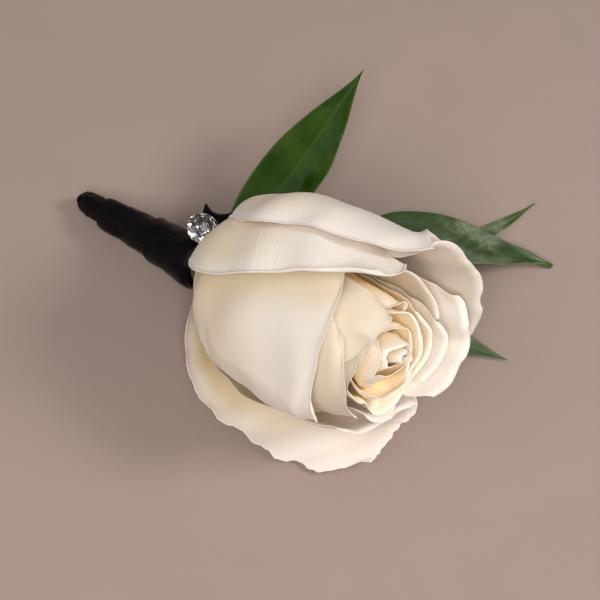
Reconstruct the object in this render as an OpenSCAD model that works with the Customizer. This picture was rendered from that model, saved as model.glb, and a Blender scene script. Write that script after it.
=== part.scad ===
// Flower lapel pin: a white rose with a ribbon-wrapped stem, a stone pin and leaves.
// It lies on its side: the bloom's fallen petal, the stem's tip and the leaves touch the surface.
// +X runs along the stem towards the bloom's mouth and +Z is up.

/* [Bloom] */
// Radius of the bloom at its belly
bloom_r = 20; // [17:0.5:24]
// Length of the bloom from the neck to the heart
bloom_h = 48; // [42:0.5:56]
// Slope of the bloom's axis above the surface
bloom_tilt = 18.5; // [14:0.5:24]
// Thickness of the outer and middle petals
petal_t = 0.8; // [0.6:0.05:1]
// Thickness of the heart's petals
heart_t = 0.45; // [0.35:0.05:0.6]
// Clearance left between neighbouring petals and round what they stand on
petal_gap = 0.3; // [0.2:0.05:0.4]
// Depth of the waves in the heart's petals, as a share of their radius
crumple = 0.05; // [0:0.01:0.08]

/* [Stem] */
// Length of the stem from the neck to its tip
stem_len = 38; // [32:0.5:46]
// Radius of the green stem inside the ribbon
stem_r = 1.8; // [1.2:0.1:2.2]
// Sideways bend between the stem and the bloom
stem_bend = 2.2; // [0:0.2:6]

/* [Ribbon] */
// Radius of the wrapped stem at its tip
wrap_tip_r = 2.5; // [2.4:0.1:3]
// Radius of the straight turn that a sleeve or a magnet clip goes round
wrap_land_r = 3.5; // [3.2:0.1:4]
// Radius of the wrapped stem at the neck
wrap_neck_r = 5.2; // [4.8:0.1:5.6]
// Height of the step where one turn overlaps the last
turn_step = 0.35; // [0.2:0.05:0.6]
// Width of the ribbon's cut end
tail_w = 6.6; // [5:0.2:9]
// Length of the ribbon's cut end
tail_len = 7.5; // [5:0.5:10]
// Thickness of the ribbon
ribbon_t = 0.4; // [0.3:0.05:0.6]

/* [Stone pin] */
// Radius of the stone at its girdle
stone_r = 3.4; // [2.8:0.1:3.8]
// Radius of the pin's shank
shank_r = 0.4; // [0.3:0.05:0.5]
// Length of the shank below its seat
shank_len = 6.5; // [5:0.5:7]
// Clearance round the stem, the shank and the twig where they pass through
bore_gap = 0.15; // [0.1:0.05:0.2]

/* [Leaves] */
// Length of the longest leaf
leaf_len = 50; // [42:1:58]
// Width of the widest leaf
leaf_w = 17.5; // [14:0.5:20]
// Thickness of a leaf
leaf_t = 0.7; // [0.5:0.05:1]
// Radius of the twig
twig_r = 0.8; // [0.6:0.05:1]

/* [Hidden] */
$fn = 96;
MIDDLE = ["low", "far", "cuff", "veil", "lap", "shell", "bowl"];
OUTER = ["fallen", "crest", "back", "hood", "wrap"];
HEART_COUNT = 11;
LEAF_COUNT = 4;

cream = [0.95, 0.91, 0.84];
heart_cream = [0.98, 0.93, 0.80];
green = [0.16, 0.33, 0.12];
ribbon_black = [0.06, 0.05, 0.06];

// Axes of the bloom, seen from the neck: along it, up and towards the viewer
W = [cos(bloom_tilt), 0, sin(bloom_tilt)];
V = [-sin(bloom_tilt), 0, cos(bloom_tilt)];
Q = [0, -1, 0];

// A petal is a sheet through cross-sections from its foot to its rim. Each row holds
// [up (share of bloom_h), out (share of bloom_r), turn_a, turn_b (degrees round the bloom from
//  its top, towards the viewer), flare_a, flare_b (how far each margin stands out, of bloom_r)]
fallen_rows = [
    [ 0.000, 0.27, 142, 198, 0, 0],
    [ 0.036, 0.45, 126, 210, 0, 0],
    [ 0.100, 0.66, 118, 218, 0.04, 0],
    [ 0.220, 0.87, 119, 222, 0.20, 0.04],
    [ 0.420, 1.03, 131, 220, 0.31, 0.05],
    [ 0.640, 1.16, 140, 213, 0.34, 0.05],
    [ 0.840, 1.25, 149, 204, 0.25, 0.04],
    [ 0.980, 1.25, 160, 196, 0.12, 0.02]];
crest_rows = [
    [ 0.000, 0.27, -122, -84, 0, 0],
    [ 0.036, 0.46, -126, -74, 0, 0],
    [ 0.100, 0.66, -128, -20, 0, 0],
    [ 0.220, 0.92, -130, -4, 0, 0],
    [ 0.400, 1.09, -130, -5, 0, 0.02],
    [ 0.600, 1.14, -128, -13, 0, 0.02],
    [ 0.800, 1.15, -122, -20, 0, 0.02],
    [ 0.950, 1.17, -112, -27, 0, 0.02],
    [ 1.040, 1.25, -96, -36, 0, 0.02]];
back_rows = [
    [ 0.022, 0.25, -136, -96, 0, 0],
    [ 0.055, 0.41, -136, -88, 0, 0],
    [ 0.118, 0.60, -137, -62, 0, 0],
    [ 0.238, 0.86, -137, -50, 0, 0],
    [ 0.400, 1.02, -138, -46, 0, 0],
    [ 0.600, 1.07, -142, -46, 0, 0],
    [ 0.800, 1.08, -144, -46, 0, 0],
    [ 0.960, 1.11, -138, -48, 0, 0],
    [ 1.120, 1.23, -128, -54, 0, 0]];
hood_rows = [
    [ 0.036, 0.24, -8, 26, 0, 0],
    [ 0.070, 0.38, -20, 31, 0, 0],
    [ 0.134, 0.55, -94, 33, 0, 0],
    [ 0.254, 0.81, -104, 33, 0, 0.02],
    [ 0.400, 0.95, -106, 29, 0, 0.03],
    [ 0.600, 1.00, -104, 21, 0, 0.04],
    [ 0.800, 1.00, -98, 9, 0, 0.04],
    [ 0.950, 0.98, -90, -3, 0, 0.04],
    [ 1.080, 0.94, -78, -16, 0, 0.04]];
wrap_rows = [
    [ 0.054, 0.22, -10, 76, 0, 0],
    [ 0.090, 0.33, -18, 86, 0, 0],
    [ 0.148, 0.48, -28, 90, 0, 0],
    [ 0.266, 0.74, -36, 85, 0, 0],
    [ 0.410, 0.875, -36, 80, 0, 0.03],
    [ 0.600, 0.93, -35, 77, 0, 0.05],
    [ 0.800, 0.92, -31, 81, 0, 0.05],
    [ 0.920, 0.91, -26, 88, 0, 0.04],
    [ 0.990, 0.89, -22, 94, 0, 0.03]];
low_rows = [
    [ 0.022, 0.25, 140, 192, 0, 0],
    [ 0.055, 0.39, 130, 198, 0, 0],
    [ 0.118, 0.54, 124, 204, 0, 0],
    [ 0.238, 0.77, 118, 208, 0, 0],
    [ 0.420, 0.93, 117, 209, 0, 0],
    [ 0.700, 0.96, 114, 206, 0, 0.02],
    [ 0.900, 0.92, 114, 196, 0, 0.04],
    [ 1.010, 0.87, 122, 184, 0, 0.04]];
far_rows = [
    [ 0.050, 0.22, -172, -104, 0, 0],
    [ 0.084, 0.34, -174, -98, 0, 0],
    [ 0.142, 0.47, -177, -92, 0, 0],
    [ 0.262, 0.70, -179, -86, 0, 0],
    [ 0.420, 0.84, -180, -82, 0, 0],
    [ 0.700, 0.88, -178, -80, -0.02, 0],
    [ 0.950, 0.90, -171, -86, -0.03, 0],
    [ 1.110, 0.97, -161, -94, -0.02, 0]];
cuff_rows = [
    [ 0.078, 0.19, 30, 112, 0, 0],
    [ 0.112, 0.30, 14, 122, 0, 0],
    [ 0.170, 0.43, 2, 128, 0, 0],
    [ 0.285, 0.66, -7, 132, 0, 0],
    [ 0.450, 0.82, -8, 134, 0, 0],
    [ 0.700, 0.85, -5, 132, 0, 0],
    [ 0.880, 0.80, 3, 126, 0, 0],
    [ 0.990, 0.71, 14, 118, 0, 0],
    [ 1.060, 0.62, 26, 108, 0, 0]];
lap_rows = [
    [ 0.078, 0.19, -112, -40, 0, 0],
    [ 0.112, 0.30, -118, -32, 0, 0],
    [ 0.170, 0.42, -121, -26, 0, 0],
    [ 0.285, 0.63, -124, -22, 0, 0],
    [ 0.450, 0.77, -124, -20, 0, 0],
    [ 0.700, 0.81, -122, -20, 0, 0],
    [ 0.880, 0.81, -118, -22, 0, 0],
    [ 1.020, 0.77, -112, -32, 0, 0],
    [ 1.100, 0.75, -102, -48, 0, 0]];
veil_rows = [
    [ 0.106, 0.15, -52, 52, 0, 0],
    [ 0.140, 0.26, -56, 58, 0, 0],
    [ 0.212, 0.39, -56, 64, 0, 0],
    [ 0.315, 0.56, -54, 66, 0, 0],
    [ 0.460, 0.70, -46, 66, 0, 0],
    [ 0.700, 0.74, -27, 66, 0, 0],
    [ 0.880, 0.70, -14, 65, 0, 0],
    [ 0.990, 0.59, -22, 58, 0, 0],
    [ 1.060, 0.47, -34, 46, 0, 0]];
shell_rows = [
    [ 0.106, 0.15, -172, -96, 0, 0],
    [ 0.140, 0.25, -173, -92, 0, 0],
    [ 0.212, 0.37, -174, -90, 0, 0],
    [ 0.315, 0.54, -176, -88, 0, 0],
    [ 0.460, 0.67, -178, -88, 0, 0],
    [ 0.700, 0.71, -175, -88, 0, 0],
    [ 0.950, 0.70, -166, -90, 0, 0],
    [ 1.100, 0.67, -158, -98, 0, 0]];
bowl_rows = [
    [ 0.106, 0.15, 132, 170, 0, 0],
    [ 0.140, 0.26, 126, 171, 0, 0],
    [ 0.212, 0.39, 120, 172, 0, 0],
    [ 0.315, 0.57, 115, 174, 0, 0],
    [ 0.460, 0.75, 112, 182, 0, 0],
    [ 0.700, 0.77, 112, 180, 0, 0],
    [ 0.920, 0.70, 124, 178, 0, 0],
    [ 1.060, 0.66, 132, 176, 0, 0]];

// How far the rim's two corners fall back, as a share of bloom_h: [corner_a, corner_b]
fallen_corners = [0, 0.04];
crest_corners = [0.04, 0.03];
back_corners = [0.05, 0.03];
hood_corners = [0.03, 0.03];
wrap_corners = [0.16, 0];
low_corners = [0.06, 0];
far_corners = [0.03, 0.06];
cuff_corners = [0.04, 0.02];
lap_corners = [0, 0.06];
veil_corners = [0, 0.03];
shell_corners = [0.03, 0.03];
bowl_corners = [0.03, 0.03];

// One row for each petal of the heart, from the outside in:
// [turn (degrees), half_span (degrees), belly, mouth (shares of bloom_r), reach (of bloom_h)]
heart_table = [
    [-150, 75, 0.62, 0.59, 1.05],
    [ -30, 75, 0.575, 0.50, 1.01],
    [  95, 80, 0.53, 0.455, 1.02],
    [-110, 70, 0.49, 0.415, 1.03],
    [  20, 80, 0.45, 0.375, 1.03],
    [ 165, 80, 0.41, 0.335, 1.04],
    [ -70, 80, 0.37, 0.295, 1.04],
    [  70, 80, 0.33, 0.25, 1.05],
    [-160, 85, 0.29, 0.205, 1.05],
    [ -30, 90, 0.25, 0.155, 1.06],
    [ 110, 95, 0.20, 0.10, 1.06]];

// Profile of the hip and the core that the petals stand on: [up (of bloom_h), out (of bloom_r)]
hip_table = [
    [-0.010, 0.16], [-0.004, 0.22], [0.022, 0.205], [0.050, 0.175],
    [ 0.078, 0.145], [0.106, 0.11], [0.140, 0.085], [0.400, 0.08], [0.420, 0.05]];

// Each turn of the ribbon, from the tip: [from, to (shares of stem_len), share of the way from
//  the land's radius to the neck's radius at its start, and at its end]
turn_table = [
    [0.197, 0.376, 0.00, 0.00],
    [0.376, 0.620, 0.06, 0.24],
    [0.620, 0.965, 0.80, 1.00]];

// Route of the twig from inside the ribbon, out behind the bloom:
// [along x, along y, height above the surface (all shares of bloom_r)]
twig_route = [
    [-0.385, 0.100, 0.410],
    [-0.200, 0.185, 0.410],
    [-0.015, 0.270, 0.410],
    [ 0.300, 0.700, 0.270],
    [ 0.600, 1.000, 0.130],
    [ 1.000, 1.250, 0.085],
    [ 1.400, 1.500, 0.070]];

// Each leaf: [at (share along the twig), side (-1 or 1), heading, pitch, roll (degrees),
//  length (of leaf_len), width (of leaf_w), bow up, sweep sideways (of its own length)]
leaf_table = [
    [0.38,  1, 92.0, 18.0,  17, 0.98, 0.76, 0.02, -0.02],
    [0.70,  1, 37.4, -2.0, -14, 1.00, 1.00, 0.065, 0.04],
    [0.94,  1, 66.3, -1.5,  -9, 0.76, 0.29, 0.00, -0.06],
    [0.80, -1,  8.3, -2.0,   9, 0.79, 0.49, 0.03, -0.06]];

// Layer of each petal, counted from the heart outwards, in the order of OUTER and of MIDDLE
outer_layer = [5, 6, 5, 4, 3];
middle_layer = [3, 3, 2, 1, 2, 1, 1];

petal_across = 12;
petal_along = 10;
middle_across = 10;
middle_along = 8;
heart_across = 8;
heart_along = 6;

// The tables leave this much from one layer to the next; the rest comes from thickness and gap
layer_pitch = 0.055 * bloom_r;
heart_pitch = 0.0375 * bloom_r;
heart_growth = heart_t + petal_gap - heart_pitch;
layer_growth = petal_t + petal_gap - layer_pitch;
function growth(layer) = HEART_COUNT * heart_growth + layer * layer_growth;

// Value of a table at x from 0 to 1, on a smooth curve through its rows
function row_at(rows, x) =
    let (n = len(rows) - 1, j = min(floor(x * n), n - 1), f = x * n - j,
         p1 = rows[j], p2 = rows[j + 1],
         p0 = j > 0 ? rows[j - 1] : 2 * p1 - p2,
         p3 = j < n - 1 ? rows[j + 2] : 2 * p2 - p1)
    (2 * p1 + (p2 - p0) * f + (2 * p0 - 5 * p1 + 4 * p2 - p3) * f * f
        + (3 * p1 - p0 - 3 * p2 + p3) * f * f * f) / 2;

function along_bloom(h, r, turn) = h * W + r * cos(turn) * V + r * sin(turn) * Q;

// How sharply a petal's margins stand out, and how sharply its rim falls back at the corners
flare_power = 3;
fall_power = 2.5;
rim_power = 3;
ripple_count = 5;

// Point of a petal: t runs from foot to rim and s from margin a (-1) to margin b (1).
// grown is what its layer is moved out by, in millimetres; the foot itself stays where it is.
function petal_point(rows, corners, wave, grown, t, s) =
    let (row = row_at(rows, t),
         turn = (row[2] + row[3]) / 2 + (row[3] - row[2]) / 2 * s,
         flare = (s < 0 ? row[4] : row[5]) * pow(abs(s), flare_power),
         fall = (s < 0 ? corners[0] : corners[1]) * pow(abs(s), fall_power) * pow(t, rim_power),
         ripple = 1 + wave * sin(ripple_count * turn) * pow(t, rim_power),
         out = (row[1] + flare) * ripple * bloom_r + grown * min(1, 4 * t))
    along_bloom((row[0] - fall) * bloom_h, out, turn);

function petal_grid(rows, corners, wave, grown, across, along) =
    [for (j = [0:along]) [for (i = [0:across])
        petal_point(rows, corners, wave, grown, j / along, 2 * i / across - 1)]];

// Unit normal of a grid of points at row j, column i
function grid_normal(grid, j, i) =
    let (m = len(grid) - 1, n = len(grid[0]) - 1,
         d = cross(grid[j][min(i + 1, n)] - grid[j][max(i - 1, 0)],
                   grid[min(j + 1, m)][i] - grid[max(j - 1, 0)][i]))
    d / norm(d);

// Points of a sheet with a thickness: its outer face, then its inner face
function sheet_points(grid, thick) =
    [for (side = [1, -1]) for (j = [0:len(grid) - 1]) for (i = [0:len(grid[0]) - 1])
        grid[j][i] + side * thick / 2 * grid_normal(grid, j, i)];

// Triangles of a sheet's outer and inner faces and of its four edges
function sheet_faces(m, n) =
    let (w = n + 1, under = (m + 1) * w)
    concat(
        [for (j = [0:m - 1]) for (i = [0:n - 1])
            let (a = j * w + i, b = a + 1, d = a + w, c = d + 1)
            each [[a, d, c], [a, c, b],
                  [under + a, under + b, under + c], [under + a, under + c, under + d]]],
        [for (i = [0:n - 1])
            let (a = i, b = i + 1, c = m * w + i + 1, d = m * w + i)
            each [[a, b, under + b], [a, under + b, under + a],
                  [c, d, under + d], [c, under + d, under + c]]],
        [for (j = [0:m - 1])
            let (a = j * w, d = a + w, b = a + n, c = d + n)
            each [[d, a, under + a], [d, under + a, under + d],
                  [b, c, under + c], [b, under + c, under + b]]]);

module sheet(grid, thick) {
    polyhedron(sheet_points(grid, thick), sheet_faces(len(grid) - 1, len(grid[0]) - 1));
}

outer_rows = [fallen_rows, crest_rows, back_rows, hood_rows, wrap_rows];
outer_corners = [fallen_corners, crest_corners, back_corners, hood_corners, wrap_corners];
outer_grids = [for (k = [0:len(OUTER) - 1])
    petal_grid(outer_rows[k], outer_corners[k], 0, growth(outer_layer[k]),
               petal_across, petal_along)];
middle_rows = [low_rows, far_rows, cuff_rows, veil_rows, lap_rows, shell_rows, bowl_rows];
middle_corners = [low_corners, far_corners, cuff_corners, veil_corners, lap_corners,
                  shell_corners, bowl_corners];
middle_grids = [for (k = [0:len(MIDDLE) - 1])
    petal_grid(middle_rows[k], middle_corners[k], 0, growth(middle_layer[k]),
               middle_across, middle_along)];

// Foot of the heart's outermost petal, up and out, and how each next foot is set up and in
heart_foot = 0.14;
heart_foot_out = 0.128;
heart_foot_step = 0.024;
heart_foot_in = 0.002;
// How far a heart petal's rim falls back at its corners
heart_corner = 0.03;

// Section rows of one petal of the heart, worked out from its row in the table
function heart_rows(k) =
    let (p = heart_table[k - 1], foot = heart_foot + heart_foot_step * (k - 1),
         out = heart_foot_out - heart_foot_in * (k - 1),
         a = p[0] - p[1], b = p[0] + p[1], a0 = p[0] - 0.6 * p[1], b0 = p[0] + 0.6 * p[1])
    [[foot, out, a0, b0, 0, 0],
     [foot + 0.10, 0.6 * p[2], (a + a0) / 2, (b + b0) / 2, 0, 0],
     [foot + 0.26, 0.9 * p[2], a, b, 0, 0],
     [0.70, p[2], a, b, 0, 0],
     [p[4] - 0.10, (p[2] + p[3]) / 2, a, b, 0, 0],
     [p[4], p[3], p[0] - 0.85 * p[1], p[0] + 0.85 * p[1], 0, 0]];
function heart_grid(k) =
    petal_grid(heart_rows(k), [heart_corner, heart_corner], crumple,
               (HEART_COUNT - k) * heart_growth, heart_across, heart_along);

// Height of the neck above the surface that the part's lowest petal lies on
function low_of(points, axis) = min([for (p = points) p[axis]]);
function high_of(points, axis) = max([for (p = points) p[axis]]);
neck_z = -min([for (grid = outer_grids) low_of(sheet_points(grid, petal_t), 2)]);

// Pitch of the stem's line, so that the tip's rounded end rests on the surface
tip_round = 0.4;
tip_edge_r = tip_round * wrap_tip_r;
tip_pitch = asin((neck_z - tip_edge_r) / norm([stem_len - tip_edge_r, wrap_tip_r - tip_edge_r]))
    - atan2(wrap_tip_r - tip_edge_r, stem_len - tip_edge_r);

// Places what is drawn upwards from the stem's tip to its neck onto the stem's line
module on_stem() {
    rotate([0, 0, -stem_bend]) rotate([0, 90 - tip_pitch, 0]) translate([0, 0, -stem_len]) children();
}

// Places what is drawn upwards from the neck onto the bloom's axis
module on_bloom() {
    rotate([0, 90 - bloom_tilt, 0]) children();
}

// The stone leans back from the bloom's axis and its pin goes in beside the stem
stone_up = -0.024;
stone_out = 0.80;
stone_turn = -31;
stone_lean = 55;
stone_place = along_bloom(stone_up * bloom_h, wrap_neck_r + stone_out * stone_r, stone_turn);
module on_stone() {
    translate(stone_place) rotate([0, 90 - bloom_tilt - stone_lean, 0]) children();
}
crown_h = 0.3 * stone_r;
girdle_h = 0.09 * stone_r;
pavilion_h = 0.62 * stone_r;
culet_r = 0.27 * stone_r;
table_r = 0.58 * stone_r;
star_r = 0.84 * stone_r;
seat_h = 0.5;

// Twig: a round sweep along its route
twig_steps = 14;
twig_sides = 8;
twig_taper = 0.3;
function twig_point(u) =
    let (p = row_at(twig_route, u))
    [p[0] * bloom_r, p[1] * bloom_r, p[2] * bloom_r - neck_z];
function twig_dir(u) =
    let (e = 0.02, d = twig_point(min(u + e, 1)) - twig_point(max(u - e, 0)))
    d / norm(d);
function ring(centre, dir, r, sides) =
    let (x = cross(dir, [0, 0, 1]) / norm(cross(dir, [0, 0, 1])), y = cross(dir, x))
    [for (i = [0:sides - 1]) centre + r * cos(360 * i / sides) * x + r * sin(360 * i / sides) * y];
twig_points = [for (j = [0:twig_steps])
    each ring(twig_point(j / twig_steps), twig_dir(j / twig_steps),
              twig_r * (1 - twig_taper * j / twig_steps), twig_sides)];

// Leaf: a pointed blade, folded along its midrib
leaf_across = 4;
leaf_along = 10;
leaf_fold = 0.16;
leaf_foot = 0.06;
// Below 1, this brings the blade's widest place nearer its foot
leaf_bias = 0.7;
function leaf_point(p, a, s) =
    let (length = p[5] * leaf_len, half = p[6] * leaf_w / 2,
         level = [cos(p[2]), sin(p[2]), 0], aside = [-sin(p[2]), cos(p[2]), 0],
         along = cos(p[3]) * level + [0, 0, sin(p[3])],
         lift = cross(along, aside),
         right = cos(p[4]) * aside + sin(p[4]) * lift,
         crown = cross(along, right),
         foot = twig_point(p[0])
            + p[1] * (twig_r + petal_gap + 0.12 * half) * [-twig_dir(p[0])[1], twig_dir(p[0])[0], 0],
         wide = half * (leaf_foot + (1 - leaf_foot) * pow(sin(180 * pow(a, leaf_bias)), 0.9)))
    foot + a * length * along
        + 4 * a * (1 - a) * length * (p[7] * lift + p[8] * aside)
        + wide * (s * right + leaf_fold * abs(s) * crown);
function leaf_grid(k) =
    [for (j = [0:leaf_along]) [for (i = [0:leaf_across])
        leaf_point(leaf_table[k - 1], j / leaf_along, 1 - 2 * i / leaf_across)]];

// Ribbon's cut end: it leaves the wrap behind the stone, and its end is hollowed by the cut
tail_across = 6;
tail_along = 4;
tail_foot = along_bloom(-0.045 * bloom_h, wrap_neck_r + petal_gap + 2 * ribbon_t, -62);
tail_heading = 112;
tail_hollow = 0.3;
tail_narrow = 0.75;
tail_arch = 0.12;
tail_cup = 0.1;
function tail_point(a, s) =
    let (dir = [cos(tail_heading), sin(tail_heading), 0], side = [-dir[1], dir[0], 0],
         cut = 1 - tail_hollow * (1 - s * s) * a)
    tail_foot + a * cut * tail_len * dir
        + s * tail_w / 2 * (tail_narrow + (1 - tail_narrow) * a) * side
        + [0, 0, tail_arch * tail_len * sin(150 * a) - tail_cup * tail_w * s * s];
tail_grid = [for (j = [0:tail_along]) [for (i = [0:tail_across])
    tail_point(j / tail_along, 1 - 2 * i / tail_across)]];

// Everything that reaches the edges of the part's box, to set the origin below its middle
leaf_sheets = [for (k = [1:LEAF_COUNT]) each sheet_points(leaf_grid(k), leaf_t)];
reach_points = concat(
    [for (grid = outer_grids) each sheet_points(grid, petal_t)],
    [for (grid = middle_grids) each sheet_points(grid, petal_t)],
    leaf_sheets, twig_points);
stem_dir = [-cos(tip_pitch) * cos(stem_bend), cos(tip_pitch) * sin(stem_bend), -sin(tip_pitch)];
tip_low_x = (stem_len - tip_edge_r) * stem_dir[0]
    - (wrap_tip_r - tip_edge_r) * sqrt(1 - stem_dir[0] * stem_dir[0]) - tip_edge_r;
low_x = min(low_of(reach_points, 0), tip_low_x);
high_x = high_of(reach_points, 0);
low_y = low_of(reach_points, 1);
high_y = high_of(reach_points, 1);
low_z = min(low_of(reach_points, 2), -neck_z);

module in_place() {
    translate([-(low_x + high_x) / 2, -(low_y + high_y) / 2, -low_z]) children();
}

// Bore through the ribbon for the twig's straight first stretch
module twig_bore() {
    start = twig_point(0);
    along = twig_point(0.2) - start;
    translate(start) rotate([0, acos(along[2] / norm(along)), atan2(along[1], along[0])])
        translate([0, 0, -bore_gap]) cylinder(h = 2 * norm(along), r = twig_r + 2 * bore_gap);
}

module shank_bore() {
    on_stone() translate([0, 0, -pavilion_h - seat_h - shank_len - 2 * bore_gap])
        cylinder(h = shank_len + seat_h + pavilion_h, r = shank_r + bore_gap);
}

// Green stem with the hip and the core at its top
module stem() {
    color(green) difference() {
        union() {
            on_stem() translate([0, 0, wrap_tip_r]) cylinder(h = stem_len - wrap_tip_r, r = stem_r);
            on_bloom() rotate_extrude() polygon(concat(
                [[0, hip_table[0][0] * bloom_h]],
                [for (p = hip_table) [p[1] * bloom_r, p[0] * bloom_h]],
                [[0, hip_table[len(hip_table) - 1][0] * bloom_h]]));
        }
        shank_bore();
    }
}

// Black ribbon in overlapping turns round the stem, closed over its tip
module ribbon_wrap() {
    function turn_r(share) = wrap_land_r + share * (wrap_neck_r - wrap_land_r);
    tip_arc = [for (a = [-90:15:0])
        [wrap_tip_r - tip_edge_r + tip_edge_r * cos(a), tip_edge_r + tip_edge_r * sin(a)]];
    turns = [for (turn = turn_table) each [
        [turn_r(turn[2]) - turn_step, turn[0] * stem_len],
        [turn_r(turn[2]), turn[0] * stem_len + turn_step],
        [turn_r(turn[3]), turn[1] * stem_len]]];
    top = turn_table[len(turn_table) - 1][1] * stem_len;
    color(ribbon_black) difference() {
        on_stem() rotate_extrude() polygon(concat(
            [[0, 0]], tip_arc,
            [[wrap_tip_r, turn_table[0][0] * stem_len]],
            turns,
            [[wrap_neck_r - turn_step, top + turn_step], [0, top + turn_step]]));
        on_stem() translate([0, 0, wrap_tip_r - bore_gap])
            cylinder(h = stem_len, r = stem_r + bore_gap);
        shank_bore();
        twig_bore();
    }
}

module ribbon_tail() {
    color(ribbon_black) sheet(tail_grid, ribbon_t);
}

// Cut stone: table, crown, girdle and pavilion, cut off flat where it sits on its seat
module stone() {
    color([0.86, 0.88, 0.9]) on_stone() hull() {
        translate([0, 0, crown_h + girdle_h / 2]) rotate(22.5) circle_plate(table_r, 8);
        translate([0, 0, 0.6 * crown_h + girdle_h / 2]) circle_plate(star_r, 8);
        translate([0, 0, girdle_h / 2]) rotate(11.25) circle_plate(stone_r, 16);
        translate([0, 0, -girdle_h / 2]) rotate(11.25) circle_plate(stone_r, 16);
        translate([0, 0, -0.8 * pavilion_h]) circle_plate(2 * culet_r, 8);
        translate([0, 0, -pavilion_h]) rotate(22.5) circle_plate(culet_r, 8);
    }
}

plate_t = 0.02;
module circle_plate(r, sides) {
    translate([0, 0, -plate_t / 2]) cylinder(h = plate_t, r = r, $fn = sides);
}

// Plain pin under the stone, with a small round seat
module stone_pin() {
    color("silver") on_stone() translate([0, 0, -pavilion_h - plate_t - bore_gap]) {
        translate([0, 0, -seat_h]) cylinder(h = seat_h, r1 = shank_r, r2 = culet_r);
        translate([0, 0, -seat_h - shank_len]) cylinder(h = shank_len, r = shank_r);
    }
}

module twig() {
    last = twig_steps * twig_sides;
    color(green) polyhedron(twig_points, concat(
        [[for (i = [0:twig_sides - 1]) i]],
        [for (j = [0:twig_steps - 1]) for (i = [0:twig_sides - 1])
            let (a = j * twig_sides + i, b = j * twig_sides + (i + 1) % twig_sides)
            each [[a, a + twig_sides, b + twig_sides], [a, b + twig_sides, b]]],
        [[for (i = [twig_sides - 1:-1:0]) last + i]]));
}

module leaf(k) {
    color(green) sheet(leaf_grid(k), leaf_t);
}

module outer_petal(k) {
    color(cream) sheet(outer_grids[k], petal_t);
}

module middle_petal(k) {
    color(cream) sheet(middle_grids[k], petal_t);
}

module heart_petal(k) {
    color(heart_cream) sheet(heart_grid(k), heart_t);
}

in_place() {
    stem();
    ribbon_wrap();
    ribbon_tail();
    stone();
    stone_pin();
    twig();
    for (k = [1:LEAF_COUNT])
        leaf(k);
    for (k = [0:len(OUTER) - 1])
        outer_petal(k);
    for (k = [0:len(MIDDLE) - 1])
        middle_petal(k);
    for (k = [1:HEART_COUNT])
        heart_petal(k);
}
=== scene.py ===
"""Flower lapel pin: a cream rose with a satin-wrapped stem, a cut stone and green leaves.

The part lies on a pale floor. Lengths in the tables are millimetres or shares of the bloom's
own size; meshes are made in metres, in the part's frame: +X runs from the stem's tip towards
the bloom's mouth, +Y towards the leaves and +Z up from the floor.
"""
import logging
import math
from dataclasses import dataclass, field
from enum import Enum
from typing import Sequence

import bpy
import numpy as np
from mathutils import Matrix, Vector


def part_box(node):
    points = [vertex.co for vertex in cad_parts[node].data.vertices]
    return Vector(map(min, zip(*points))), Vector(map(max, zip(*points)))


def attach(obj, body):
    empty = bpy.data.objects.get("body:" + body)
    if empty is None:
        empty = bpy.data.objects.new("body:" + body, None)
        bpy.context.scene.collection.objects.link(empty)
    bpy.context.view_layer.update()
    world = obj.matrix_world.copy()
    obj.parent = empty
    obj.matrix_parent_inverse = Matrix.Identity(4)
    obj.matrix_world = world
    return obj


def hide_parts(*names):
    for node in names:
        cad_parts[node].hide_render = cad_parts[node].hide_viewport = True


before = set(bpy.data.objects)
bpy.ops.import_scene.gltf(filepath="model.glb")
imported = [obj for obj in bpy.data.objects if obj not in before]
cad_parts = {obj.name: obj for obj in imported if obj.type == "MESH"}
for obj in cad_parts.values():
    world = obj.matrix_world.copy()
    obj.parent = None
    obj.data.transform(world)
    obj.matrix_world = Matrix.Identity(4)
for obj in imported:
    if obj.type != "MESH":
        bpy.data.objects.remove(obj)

log = logging.getLogger("flower_pin")

MM = 0.001
BODY = "root"

Array = np.ndarray
Colour = tuple[float, float, float]
Row = tuple[float, ...]
Socket = bpy.types.NodeSocket


def smoothstep(low: float, high: float, value: Array) -> Array:
    """Rises smoothly from 0 at low to 1 at high.

    Args:
        low: Value at which the result leaves 0.
        high: Value at which the result reaches 1.
        value: Values to map.

    Returns:
        The mapped values.
    """
    x = np.clip((np.asarray(value, float) - low) / (high - low), 0.0, 1.0)
    return x * x * (3.0 - 2.0 * x)


def row_at(rows: Sequence[Row], x: Array) -> Array:
    """Reads a table on a smooth curve through its rows.

    Args:
        rows: Table rows of equal length.
        x: Places from 0, the first row, to 1, the last one.

    Returns:
        One interpolated row for each place.
    """
    table = np.asarray(rows, float)
    last = len(table) - 1
    place = np.atleast_1d(np.asarray(x, float)) * last
    j = np.clip(np.floor(place).astype(int), 0, last - 1)
    f = (place - j)[:, None]
    padded = np.vstack([2 * table[0] - table[1], table, 2 * table[-1] - table[-2]])
    p0, p1, p2, p3 = padded[j], padded[j + 1], padded[j + 2], padded[j + 3]
    cubic = 3 * p1 - p0 - 3 * p2 + p3
    square = 2 * p0 - 5 * p1 + 4 * p2 - p3
    return (2 * p1 + (p2 - p0) * f + square * f**2 + cubic * f**3) / 2


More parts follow.
